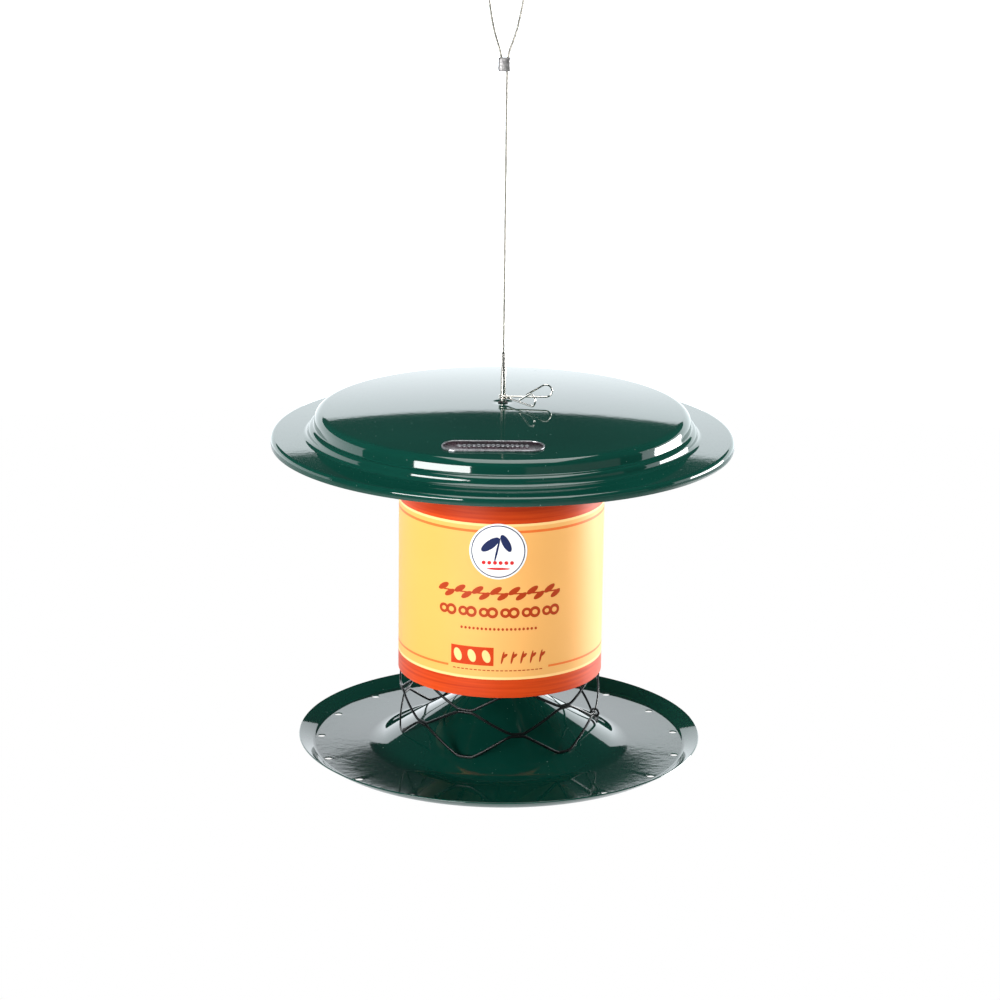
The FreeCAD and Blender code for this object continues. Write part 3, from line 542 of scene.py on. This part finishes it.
def printed_card(name, colours, base, tall):
    """The sleeve's print: two grained bands, fine lines, and rows of nuts, leaves and dots."""
    finish, tree, shader = new_finish(name)
    card = Print(tree, SLEEVE_HIGH.x, base)
    height, arc = card.height, card.arc
    top = tall / MM
    streaks = ramp(tree, grain(tree, 60, 3, (0.25, 0.25, 9)), 0.3, 0.7)
    band = blend(tree, streaks, [c * 0.82 for c in colours.band], (0.66, 0.066, 0.005))
    # Along the arc the panel's colour is painted light and shade: deeper towards the left, painted shade
    # that holds back the key light there, and paler towards the right, a painted sheen.
    panel = blend(tree, ramp(tree, arc, -60, 0), (0.92, 0.42, 0.09), tuple(colours.panel))
    panel = blend(tree, ramp(tree, arc, 20, 80), panel, (0.86, 0.45, 0.14))
    panel = blend(tree, ramp(tree, grain(tree, 25, 3), 0.3, 0.7, 0, 0.12), panel, (1.0, 0.50, 0.14))

    title, dotted, boxed, sprigged, dashed = (-43, 41), (-27, 25), (-33, -4), (-1, 31), (-32, 29)
    rows = card.both(card.either(leaf_row(card, *title, 71.2), nut_row(card, *title, 58.2)),
                     card.within(arc, *title))
    dots = card.both(card.oval(card.repeat(*dotted, 19), card.shifted(height, 47.0), 0.85, 0.95),
                     card.within(arc, *dotted))
    block = card.both(card.within(arc, *boxed), card.within(height, 21.8, 34.4))
    seeds = card.oval(card.repeat(*boxed, 3), card.shifted(height, 28.1), 2.6, 4.4, 18)
    sprigs = sprig_row(card, *sprigged, 27.6)
    dashes = card.both(card.both(card.within(card.repeat(*dashed, 21), -1.0, 1.0),
                                 card.within(height, 18.3, 19.0)), card.within(arc, *dashed))
    beside = card.outside(card.within(arc, -35, 33))
    rules = card.either(card.within(height, top - 18.6, top - 16.8),
                        card.both(card.within(height, 19.2, 20.7), beside))

    ink = blend(tree, card.either(rows, dots, dashes, sprigs), panel, tuple(colours.ink))
    ink = blend(tree, block, ink, tuple(colours.band))
    ink = blend(tree, card.both(block, seeds), ink, tuple(colours.line))
    ink = blend(tree, rules, ink, (0.80, 0.17, 0.03))
    band_tall = 12.4
    bands = card.either(card.within(height, -1, band_tall),
                        card.within(height, top - band_tall, top + 1))
    edges = card.either(card.within(height, band_tall, band_tall + 1.8),
                        card.within(height, top - band_tall - 1.7, top - band_tall))
    # The top band darkens towards its upper edge: a painted shadow under the roof.
    painted_roof_shadow = blend(tree, ramp(tree, height, top - 13, top), (1, 1, 1), (0.45, 0.36, 0.30))
    painted_roof_shadow = node(tree, "VectorMath", {0: band, 1: painted_roof_shadow}, operation="MULTIPLY").outputs[0]
    ink = blend(tree, bands, ink, painted_roof_shadow)
    ink = blend(tree, edges, ink, tuple(colours.line))
    bare = card.within(card.from_rod, 0, SLEEVE_HIGH.x - 0.25 * MM)
    board = blend(tree, grain(tree, 400, 3), (0.32, 0.25, 0.17), (0.42, 0.34, 0.24))
    tree.links.new(blend(tree, bare, ink, board), shader.inputs["Base Color"])
    tree.links.new(ramp(tree, bare, 0, 1, 0.38, 0.8), shader.inputs["Roughness"])
    shader.inputs["Specular IOR Level"].default_value = 0.18
    relief(tree, shader, grain(tree, 1400, 3), 0.000008)
    return finish


def sticker_print(name, centre):
    """The round sticker: white, ringed, with a sprig of two leaves and a row of berries."""
    finish, tree, shader = new_finish(name)
    disc = Print(tree, SLEEVE_HIGH.x, centre.z)
    along, up = disc.shifted(disc.arc, centre.x / MM), disc.height
    white = blend(tree, grain(tree, 300, 2), (0.86, 0.85, 0.84), (0.92, 0.91, 0.90))
    ring = disc.both(disc.outside(disc.oval(along, up, 16.9, 16.9)), disc.oval(along, up, 17.6, 17.6))
    leaves = disc.either(disc.oval(disc.shifted(along, -5.2), disc.shifted(up, 4.6), 7.2, 2.9, 38),
                         disc.oval(disc.shifted(along, 5.0), disc.shifted(up, 5.6), 6.4, 2.5, 118))
    stem = disc.oval(disc.shifted(along, -0.6), disc.shifted(up, 1.0), 0.7, 8.5, -12)
    berry = disc.both(disc.oval(disc.repeat(-13, 9, 6), disc.shifted(up, -7.6), 1.3, 1.3),
                      disc.within(disc.arc, -13, 9))
    stripe = disc.oval(disc.shifted(along, 0.3), disc.shifted(up, -11.6), 7.5, 0.8)
    ink = blend(tree, disc.either(ring, leaves, stem), white, (0.012, 0.020, 0.085))
    ink = blend(tree, disc.either(berry, stripe), ink, (0.62, 0.02, 0.02))
    tree.links.new(ink, shader.inputs["Base Color"])
    tree.links.new(ramp(tree, grain(tree, 300, 2), 0, 1, 0.16, 0.24), shader.inputs["Roughness"])
    relief(tree, shader, grain(tree, 900, 2), 0.000004)
    return finish


# ---------------------------------------------------------------- stage
CAMERA_PLACE = (0, -2.1638, 0.2691)
CAMERA_TILT, CAMERA_TURN, CAMERA_ROLL = radians(90 - 16.205), radians(0.03), radians(0.713)
CAMERA_LENS = 122.557
# Each softbox: name, shift of its aim to the right, turn from the front and rise above the level in
# degrees, distance, width and height, and radiance.
SOFTBOXES = (
    ("key_left", 0, -35, 4, 2.0, (1.22, 0.6), 23),
    ("side_right", 0, 117, -2, 2.2, (1.26, 0.8), 27),
    ("fill_right", 0, 43, 2, 2.3, (2.6, 1.0), 0.35),
    ("overhead", 0.15, 0, 84, 1.6, (1.3, 1.5), 5.5),
)


class FEEDER_OT_stage(bpy.types.Operator):
    """Camera, floor, backdrop and soft lights"""
    bl_idname = "feeder.stage"
    bl_label = "Stage"

    def execute(self, context):
        studio = context.scene.feeder_studio
        context.scene.view_settings.view_transform = "Standard"
        self.add_camera(context)
        self.add_floor(studio)
        self.add_backdrop(studio)
        self.set_world(context)
        for softbox in SOFTBOXES:
            self.add_softbox(*softbox)
        return {"FINISHED"}

    def add_camera(self, context):
        aim = Matrix.Rotation(CAMERA_TURN, 4, "Z") @ Matrix.Rotation(CAMERA_TILT, 4, "X")
        aim = aim @ Matrix.Rotation(CAMERA_ROLL, 4, "Z")
        clear_selection()
        bpy.ops.object.camera_add(location=CAMERA_PLACE, rotation=aim.to_euler())
        camera = added("camera")
        camera.data.sensor_width = 36
        camera.data.lens = CAMERA_LENS
        context.scene.camera = camera

    def add_floor(self, studio):
        clear_selection()
        bpy.ops.mesh.primitive_circle_add(vertices=96, radius=14, fill_type="NGON",
                                          location=(0, 0, TRAY_LOW.z - studio.floor_drop))
        floor = added("floor")
        finish, tree, shader = new_finish("pale_floor")
        shader.inputs["Base Color"].default_value = (0.62, 0.62, 0.63, 1)
        shader.inputs["Roughness"].default_value = 0.9
        self.white_when_seen(tree, shader.outputs[0], "Material")
        floor.data.materials.append(finish)

    def white_when_seen(self, tree, unseen, output):
        """Pale and evenly lit to the eye, and the given shader for light and reflections."""
        white = node(tree, "Emission", {"Color": (1, 1, 1, 1), "Strength": 1.0})
        seen = node(tree, "LightPath").outputs["Is Camera Ray"]
        mixed = node(tree, "MixShader", {"Fac": seen})
        tree.links.new(unseen, mixed.inputs[1])
        tree.links.new(white.outputs[0], mixed.inputs[2])
        out = next(n for n in tree.nodes if n.bl_idname == f"ShaderNodeOutput{output}")
        tree.links.new(mixed.outputs[0], out.inputs["Surface"])

    def add_backdrop(self, studio):
        low = TRAY_LOW.z - studio.floor_drop
        tall = studio.backdrop_top - low
        clear_selection()
        bpy.ops.mesh.primitive_cylinder_add(vertices=96, radius=studio.backdrop_radius, depth=tall,
                                            end_fill_type="NOTHING", location=(0, 0, low + tall / 2))
        wall = added("backdrop")
        cut_faces(wall, lambda face: face.center.y < -0.05)
        finish = bpy.data.materials.new("lit_backdrop")
        finish.use_nodes = True
        tree = finish.node_tree
        glow = node(tree, "Emission", {"Color": (0.91, 0.96, 1.0, 1), "Strength": studio.backdrop})
        out = next(n for n in tree.nodes if n.bl_idname == "ShaderNodeOutputMaterial")
        tree.links.new(glow.outputs[0], out.inputs["Surface"])
        wall.data.materials.append(finish)

    def set_world(self, context):
        world = bpy.data.worlds.new("studio")
        context.scene.world = world
        world.use_nodes = True
        tree = world.node_tree
        dim = tree.nodes["Background"]
        dim.inputs["Color"].default_value = (0.045, 0.065, 0.065, 1)
        self.white_when_seen(tree, dim.outputs[0], "World")

    def add_softbox(self, name, shift, turn, rise, distance, size, radiance):
        """A soft rectangle of light that faces a point under the roof."""
        aim = Vector((shift, 0, ROOF_LOW.z))
        turn, rise = radians(turn), radians(rise)
        away = Vector((sin(turn) * cos(rise), -cos(turn) * cos(rise), sin(rise)))
        clear_selection()
        bpy.ops.object.light_add(type="AREA", location=aim + away * distance,
                                 rotation=away.to_track_quat("Z", "Y").to_euler())
        lamp = added(name)
        lamp.data.shape = "RECTANGLE"
        lamp.data.size, lamp.data.size_y = size
        lamp.data.energy = pi * size[0] * size[1] * radiance
        lamp.visible_camera = False


# ---------------------------------------------------------------- rope
# The rope's route in X and Z: up from the rod, through the ferrule, round the loop and back.
FERRULE_TOP = -0.066
ROPE_ROUTE = [
    (0.0, -0.2709),
    (0.0, FERRULE_TOP - 0.0190),
    (0.0, FERRULE_TOP + 0.0015),
    (0.0052, FERRULE_TOP + 0.0145),
    (0.0089, FERRULE_TOP + 0.0310),
    (0.0111, FERRULE_TOP + 0.0455),
    (0.0115, FERRULE_TOP + 0.0562),
    (0.0092, FERRULE_TOP + 0.0630),
    (0.0035, FERRULE_TOP + 0.0668),
    (-0.0035, FERRULE_TOP + 0.0668),
    (-0.0094, FERRULE_TOP + 0.0630),
    (-0.0121, FERRULE_TOP + 0.0560),
    (-0.0125, FERRULE_TOP + 0.0450),
    (-0.0112, FERRULE_TOP + 0.0310),
    (-0.0081, FERRULE_TOP + 0.0150),
    (-0.0033, FERRULE_TOP + 0.0015),
    (-0.0033, FERRULE_TOP - 0.0080),
]


class FEEDER_OT_rope(bpy.types.Operator):
    """The wire rope, laid up from seven strands along its route"""
    bl_idname = "feeder.rope"
    bl_label = "Wire rope"

    def execute(self, context):
        sizes = context.scene.feeder_sizes
        path = self.route()
        strand = sizes.rope / 3
        strands = [self.strand(path, 0, 0, strand * 1.1, sizes.rope_lay)]
        for i in range(6):
            strands.append(self.strand(path, i * pi / 3, strand, strand * 1.12, sizes.rope_lay))
        rope = join("wire_rope", strands)
        bpy.ops.object.shade_smooth()
        dress(rope, "tray_assembly", FINISHES["rope"], "wire_rope", "hanger_rope")
        self.add_ferrule()
        return {"FINISHED"}

    def add_ferrule(self):
        """The crimped sleeve: a flat oval block, squeezed unevenly by the tool's jaws."""
        middle = (FERRULE_LOW + FERRULE_HIGH) / 2
        wide, deep, tall = FERRULE_HIGH - FERRULE_LOW
        bites = 8
        ferrule = pill("crimped_ferrule", wide, deep, 16)
        bpy.ops.object.mode_set(mode="EDIT")
        bpy.ops.mesh.select_all(action="SELECT")
        for _ in range(bites):
            bpy.ops.mesh.extrude_region_move(TRANSFORM_OT_translate={"value": (0, 0, tall / bites)})
        bpy.ops.mesh.select_all(action="SELECT")
        bpy.ops.mesh.normals_make_consistent(inside=False)
        bpy.ops.object.mode_set(mode="OBJECT")
        with_modifier(ferrule, "BEVEL", width=0.35 * MM, segments=2, limit_method="ANGLE",
                      angle_limit=radians(60))
        dents = random.Random(11)
        jaws = [dents.uniform(-0.3, 0.3) * MM for _ in range(bites + 1)]
        for vertex in ferrule.data.vertices:
            x, y, z = vertex.co
            squeeze = jaws[min(bites, int(z / tall * bites))]
            waist = 1 - 0.28 * max(0, 1 - abs(x) / (0.9 * MM)) * sin(pi * min(1, max(0, z / tall)))
            vertex.co = (middle.x + x + squeeze * (1 if x > 0 else -1),
                         y * waist + dents.uniform(-0.06, 0.06) * MM, middle.z + z - tall / 2)
        bpy.ops.object.shade_smooth_by_angle(angle=radians(50))
        dress(ferrule, "tray_assembly", FINISHES["ferrule"], "ferrule_alloy", "ferrule")
        return ferrule

    def route(self):
        """Points of the rope's centreline, read from its NURBS spline."""
        line = bpy.data.curves.new("rope_route", "CURVE")
        line.dimensions = "3D"
        line.resolution_u = 24
        spline = line.splines.new("NURBS")
        spline.points.add(len(ROPE_ROUTE) - 1)
        for point, (x, z) in zip(spline.points, ROPE_ROUTE):
            point.co = (x, 0, z, 1)
        spline.order_u = 3
        spline.use_endpoint_u = True
        guide = bpy.data.objects.new("rope_route", line)
        traced = bpy.data.meshes.new_from_object(guide)
        points = [vertex.co.copy() for vertex in traced.vertices]
        bpy.data.objects.remove(guide)
        bpy.data.meshes.remove(traced)
        return points

    def strand(self, path, start, offset, thickness, lay):
        """One strand, wound round the path at an offset from it."""
        spots, gone = [], 0
        step = lay / 14
        travelled = 0
        for before, after in zip(path, path[1:]):
            ahead = (after - before).normalized()
            across = ahead.cross(Vector((0, 1, 0))).normalized()
            span = (after - before).length
            while gone <= span:
                angle = start + FULL_TURN * travelled / lay
                lift = across * cos(angle) + Vector((0, 1, 0)) * sin(angle)
                spots.append(before + ahead * gone + lift * offset)
                gone += step
                travelled += step
            gone -= span
        piece = drawn_line("strand", spots, thickness)
        piece.data.bevel_resolution = 1
        piece.data.use_fill_caps = True
        return as_mesh(piece)


# ---------------------------------------------------------------- roof and nameplate
class FEEDER_OT_roof(bpy.types.Operator):
    """The pressed roof: dome, two rounded shoulders, flat brim and turned-down lip"""
    bl_idname = "feeder.roof"
    bl_label = "Roof"

    def execute(self, context):
        sizes = context.scene.feeder_sizes
        low, crown, edge = ROOF_LOW.z, ROOF_HIGH.z, ROOF_HIGH.x

        def dome(x):
            return crown - x * x / (2 * sizes.dome_radius)

        reach = sizes.dome_reach
        span = reach - sizes.dome_bend - sizes.roof_hole
        inner = [sizes.roof_hole + span * i / 20 for i in range(21)]
        brim = edge - sizes.brim_width
        step = brim - sizes.step_width
        corners = [(x, dome(x), 0) for x in inner] + [
            (reach, dome(reach), sizes.dome_bend),
            (step - sizes.ledge_width, low + sizes.crease_height, 1.2 * MM),
            (step, low + sizes.step_height, 3.0 * MM),
            (brim, low + sizes.brim_foot, 3.5 * MM),
            (edge, low + sizes.brim_edge, 2.6 * MM),
            (edge, low, 0),
        ]
        roof = lathe("roof_shell", rounded(corners), 224)
        pressed(roof, sizes)
        bpy.ops.object.shade_smooth_by_angle(angle=radians(40))
        dress(roof, "roof_assembly", FINISHES["coat"], "green_coat", "roof")
        return {"FINISHED"}


class FEEDER_OT_nameplate(bpy.types.Operator):
    """The blank pill-shaped plate: a bright rim, a dark sunken face and a row of beads"""
    bl_idname = "feeder.nameplate"
    bl_label = "Nameplate"

    def execute(self, context):
        sizes = context.scene.feeder_sizes
        wide, deep = PLATE_HIGH.x - PLATE_LOW.x, PLATE_HIGH.y - PLATE_LOW.y
        centre = (PLATE_LOW + PLATE_HIGH) / 2
        floor = sizes.plate_height - sizes.plate_sink
        plate = pill("name_plate", wide, deep, 96)
        bpy.ops.object.mode_set(mode="EDIT")
        bpy.ops.mesh.select_all(action="SELECT")
        bpy.ops.mesh.extrude_region_move(TRANSFORM_OT_translate={"value": (0, 0, sizes.plate_height)})
        bpy.ops.mesh.inset(thickness=sizes.plate_rim)
        bpy.ops.mesh.extrude_region_move(TRANSFORM_OT_translate={"value": (0, 0, -sizes.plate_sink)})
        bpy.ops.mesh.select_all(action="SELECT")
        bpy.ops.mesh.normals_make_consistent(inside=False)
        bpy.ops.object.mode_set(mode="OBJECT")
        with_modifier(plate, "BEVEL", width=0.22 * MM, segments=3, limit_method="ANGLE",
                      angle_limit=radians(40))
        plate.data.materials.append(FINISHES["bright_rim"])
        plate.data.materials.append(FINISHES["enamel"])
        for face in plate.data.polygons:
            face.material_index = int(face.center.z < floor + 0.15 * MM and face.normal.z > 0.5)
        plate = join("name_plate", [plate] + self.beads(1.75 * (wide - 2.2 * deep), floor))
        for vertex in plate.data.vertices:
            x, y = vertex.co.x + centre.x, vertex.co.y + centre.y
            drop = (x * x + y * y) / (2 * sizes.dome_radius)
            vertex.co = (x, y, ROOF_HIGH.z - drop + vertex.co.z + 0.02 * MM)
        bpy.ops.object.shade_smooth_by_angle(angle=radians(35))
        dress(plate, "roof_assembly", FINISHES["enamel"], "black_enamel", "nameplate")
        return {"FINISHED"}

    def beads(self, run, floor):
        """A row of small raised ovals along the plate, every third one round."""
        count = 15
        round_bead, tall_bead = self.bead(1.7, 1.7, floor), self.bead(1.25, 2.3, floor)
        row = []
        for i in range(count):
            shift = Vector((run * (i / (count - 1) - 0.5), 0, 0))
            row.append(copied(tall_bead if i % 3 else round_bead, shift))
        for pattern in (round_bead, tall_bead):
            bpy.data.objects.remove(pattern)
        return row

    def bead(self, wide, deep, floor):
        """One bead in the middle of the plate, with its half sizes in millimetres."""
        clear_selection()
        bpy.ops.mesh.primitive_uv_sphere_add(segments=16, ring_count=10, radius=1, location=(0, 0, floor),
                                             scale=(wide * MM, deep * MM, 0.45 * MM))
        bead = added("bead")
        place_in_mesh(bead)
        bead.data.materials.append(FINISHES["bright_rim"])
        return bead


# ---------------------------------------------------------------- mesh, sleeve and sticker
class FEEDER_OT_mesh(bpy.types.Operator):
    """The expanded-metal cylinder: zigzag strands that meet in bonds"""
    bl_idname = "feeder.mesh"
    bl_label = "Expanded metal"

    def execute(self, context):
        sizes = context.scene.feeder_sizes
        jitter = random.Random(7)
        base = MESH_LOW.z + sizes.strand
        radius = MESH_HIGH.x - sizes.strand_depth
        half_column = pi / sizes.columns
        waves = []
        for row in range(sizes.rows):
            low, high = base + row * sizes.row_pitch, base + (row + 1) * sizes.row_pitch
            low += -sizes.strand / 2 if row == 0 else sizes.bond_spread
            high += sizes.strand / 2 if row == sizes.rows - 1 else -sizes.bond_spread
            spots = []
            for column in range(sizes.columns):
                middle = sizes.mesh_turn + half_column * (2 * column + row % 2)
                spots += self.half_wave(middle, middle + half_column, low, high, radius, sizes, jitter)
                spots += self.half_wave(middle + half_column, middle + 2 * half_column, high, low,
                                        radius, sizes, jitter)
            strand = ring_wire("strand", spots, sizes.strand - sizes.strand_flat)
            strand.data.resolution_u = 3
            strand.data.extrude = sizes.strand_flat / 2
            strand.data.twist_mode = "Z_UP"
            waves.append(as_mesh(strand))
        mesh = join("mesh_strands", waves)
        bpy.ops.object.shade_smooth()
        dress(mesh, "mesh_assembly", FINISHES["strand"], "mesh_coat", "mesh_cylinder")
        return {"FINISHED"}

    def half_wave(self, first, last, from_level, to_level, radius, sizes, jitter):
        """Control points from the middle of one bond to just before the middle of the next."""
        flat = sizes.bond / 2 / radius
        spots = []
        for share, climb in ((0, 0), (0.9, 0.0), (1.45, 0.06), (0, 0.5), (-1.45, 0.94), (-0.9, 1.0)):
            if climb == 0.5:
                turn = (first + last) / 2
            elif share >= 0:
                turn = first + flat * share
            else:
                turn = last + flat * share
            wander = jitter.uniform(-0.25, 0.25) * MM if climb not in (0, 1) else 0
            spots.append(around(turn, radius, from_level + (to_level - from_level) * climb + wander))
        return spots


class FEEDER_OT_sleeve(bpy.types.Operator):
    """The printed card sleeve and the round sticker on it"""
    bl_idname = "feeder.sleeve"
    bl_label = "Sleeve and sticker"

    def execute(self, context):
        sizes = context.scene.feeder_sizes
        sleeve = self.tube("card_sleeve", SLEEVE_HIGH.x)
        with_modifier(sleeve, "SOLIDIFY", thickness=sizes.card, offset=-1)
        sleeve = join("card_sleeve", [sleeve, self.lap(sizes)])
        bpy.ops.object.shade_smooth_by_angle(angle=radians(40))
        dress(sleeve, "mesh_assembly", FINISHES["card"], "label_card", "label_sleeve")
        self.add_sticker(sizes)
        return {"FINISHED"}

    def tube(self, name, radius):
        """An open tube as tall as the sleeve."""
        clear_selection()
        bpy.ops.mesh.primitive_cylinder_add(vertices=256, radius=radius, depth=SLEEVE_HIGH.z - SLEEVE_LOW.z,
                                            end_fill_type="NOTHING",
                                            location=(0, 0, (SLEEVE_LOW.z + SLEEVE_HIGH.z) / 2))
        return added(name)

    def lap(self, sizes):
        """The lap at the back, where the card's end is glued over its start."""
        def off_lap(face):
            return not sizes.lap_start < atan2(face.center.x, -face.center.y) < sizes.lap_end

        lap = self.tube("lap", SLEEVE_HIGH.x + sizes.lap)
        cut_faces(lap, off_lap)
        with_modifier(lap, "SOLIDIFY", thickness=sizes.lap - 0.02 * MM, offset=-1)
        return lap

    def add_sticker(self, sizes):
        centre = (STICKER_LOW + STICKER_HIGH) / 2
        across = (STICKER_HIGH.z - STICKER_LOW.z) / 2
        clear_selection()
        bpy.ops.mesh.primitive_circle_add(vertices=96, radius=across, fill_type="NGON",
                                          location=centre, rotation=(pi / 2, 0, 0))
        sticker = added("round_seal")
        place_in_mesh(sticker)
        bpy.ops.object.mode_set(mode="EDIT")
        bpy.ops.mesh.select_all(action="SELECT")
        rings = 12
        for _ in range(rings - 1):
            bpy.ops.mesh.inset(thickness=across / rings)
        bpy.ops.object.mode_set(mode="OBJECT")
        skin = SLEEVE_HIGH.x + sizes.sticker + 0.03 * MM
        for vertex in sticker.data.vertices:
            vertex.co.y = -(skin ** 2 - vertex.co.x ** 2) ** 0.5
        with_modifier(sticker, "SOLIDIFY", thickness=sizes.sticker, offset=-1)
        bpy.ops.object.shade_smooth_by_angle(angle=radians(40))
        dress(sticker, "mesh_assembly", FINISHES["sticker"], "sticker_paper", "round_sticker")


# ---------------------------------------------------------------- tray
class FEEDER_OT_tray(bpy.types.Operator):
    """The pressed tray with its cone, flared flange and drain holes"""
    bl_idname = "feeder.tray"
    bl_label = "Tray"

    def execute(self, context):
        sizes = context.scene.feeder_sizes
        seat, floor = TRAY_HIGH.z, TRAY_LOW.z + sizes.sheet
        corners = [
            (sizes.seat_hole, seat, 0),
            (sizes.seat_radius, seat, 5 * MM),
            (sizes.cone_radius, floor, 22 * MM),
            (sizes.floor_radius, floor, 4 * MM),
            (sizes.floor_radius + sizes.flange_width, floor + sizes.flange_rise, 0),
        ]
        tray = lathe("tray_shell", rounded(corners, radians(3)), 204)
        pressed(tray, sizes)
        cutter = self.drains(sizes, floor)
        with_modifier(tray, "BOOLEAN", object=cutter, operation="DIFFERENCE", solver="EXACT")
        bpy.data.objects.remove(cutter)
        bpy.ops.object.shade_smooth_by_angle(angle=radians(30))
        dress(tray, "tray_assembly", FINISHES["coat"], "green_coat", "tray")
        return {"FINISHED"}

    def drains(self, sizes, floor):
        """One punch, copied round the ring of drain holes."""
        spots = [around(sizes.first_drain + FULL_TURN * i / sizes.drain_count, sizes.drain_ring, floor)
                 for i in range(sizes.drain_count)]
        clear_selection()
        bpy.ops.mesh.primitive_cylinder_add(vertices=32, radius=sizes.drain_radius, depth=8 * MM,
                                            location=spots[0])
        punch = added("punch")
        place_in_mesh(punch)
        return join("punches", [punch] + [copied(punch, spot - spots[0]) for spot in spots[1:]])


# ---------------------------------------------------------------- hardware
class FEEDER_OT_hardware(bpy.types.Operator):
    """Finishes of the rod, nuts, washers, seals, clip, magnets and seam rings"""
    bl_idname = "feeder.hardware"
    bl_label = "Hardware"

    finishes = {
        "steel_upright": ("hanger_rod",),
        "steel_turned": ("lower_washer", "upper_washer", "upper_nut", "cap_nut"),
        "spring": ("clip_upper_leg", "clip_lower_leg"),
        "rubber": ("roof_grommet", "seal_washer"),
        "nickel": ("roof_magnets", "tray_magnets"),
        "strand": ("seam_rings",),
    }

    def execute(self, context):
        for finish, names in self.finishes.items():
            for name in names:
                piece = NODES[name]
                piece.data.materials.clear()
                piece.data.materials.append(FINISHES[finish])
        return {"FINISHED"}


# ---------------------------------------------------------------- add-on
class FEEDER_OT_finishes(bpy.types.Operator):
    """Makes every finish that the pieces use"""
    bl_idname = "feeder.finishes"
    bl_label = "Finishes"

    def execute(self, context):
        tints = context.scene.feeder_colours
        steel = tuple(tints.steel)
        FINISHES["coat"] = powder_coat("green_powder_coat", tuple(tints.green), 0.000014)
        FINISHES["strand"] = dipped_coat("strand_coat", tuple(tints.strand))
        FINISHES["steel_upright"] = drawn_steel("drawn_rod", steel, 0.16, (1, 1, 0.03))
        FINISHES["steel_turned"] = drawn_steel("turned_steel", steel, 0.25, (1, 1, 1))
        FINISHES["spring"] = drawn_steel("spring_steel", [c * 1.1 for c in steel], 0.12, (0.2, 0.2, 1))
        FINISHES["rope"] = rough_metal("rope_strands", (0.42, 0.40, 0.36), 0.36, 0.00001)
        FINISHES["ferrule"] = rough_metal("crimped_sleeve", (0.34, 0.33, 0.33), 0.5, 0.0001)
        FINISHES["nickel"] = rough_metal("nickel_plate", (0.66, 0.63, 0.57), 0.14, 0.000004)
        FINISHES["bright_rim"] = rough_metal("bright_rim", (0.42, 0.42, 0.44), 0.3, 0.000004)
        FINISHES["rubber"] = black_rubber("black_rubber")
        FINISHES["enamel"] = enamel("dark_enamel")
        FINISHES["card"] = printed_card("printed_card", tints, SLEEVE_LOW.z, SLEEVE_HIGH.z - SLEEVE_LOW.z)
        FINISHES["sticker"] = sticker_print("sticker_print", (STICKER_LOW + STICKER_HIGH) / 2)
        return {"FINISHED"}


class FEEDER_PT_panel(bpy.types.Panel):
    """Lists the settings and the steps"""
    bl_idname = "FEEDER_PT_panel"
    bl_label = "Hanging nut feeder"
    bl_space_type = "VIEW_3D"
    bl_region_type = "UI"
    bl_category = "Feeder"

    def draw(self, context):
        for group in (context.scene.feeder_sizes, context.scene.feeder_colours, context.scene.feeder_studio):
            for name in group.__annotations__:
                self.layout.prop(group, name)
        for step in STEPS:
            self.layout.operator(step.bl_idname)


STEPS = (FEEDER_OT_stage, FEEDER_OT_finishes, FEEDER_OT_rope, FEEDER_OT_roof, FEEDER_OT_nameplate,
         FEEDER_OT_mesh, FEEDER_OT_sleeve, FEEDER_OT_tray, FEEDER_OT_hardware)
GROUPS = (FeederSizes, FeederColours, FeederStudio)


def register():
    for group in GROUPS + STEPS + (FEEDER_PT_panel,):
        bpy.utils.register_class(group)
    bpy.types.Scene.feeder_sizes = bpy.props.PointerProperty(type=FeederSizes)
    bpy.types.Scene.feeder_colours = bpy.props.PointerProperty(type=FeederColours)
    bpy.types.Scene.feeder_studio = bpy.props.PointerProperty(type=FeederStudio)


def unregister():
    del bpy.types.Scene.feeder_studio
    del bpy.types.Scene.feeder_colours
    del bpy.types.Scene.feeder_sizes
    for group in reversed(GROUPS + STEPS + (FEEDER_PT_panel,)):
        bpy.utils.unregister_class(group)


def main():
    register()
    bpy.ops.feeder.stage()
    bpy.ops.feeder.finishes()
    bpy.ops.feeder.rope()
    bpy.ops.feeder.roof()
    bpy.ops.feeder.nameplate()
    bpy.ops.feeder.mesh()
    bpy.ops.feeder.sleeve()
    bpy.ops.feeder.tray()
    bpy.ops.feeder.hardware()


if __name__ == "__main__":
    main()
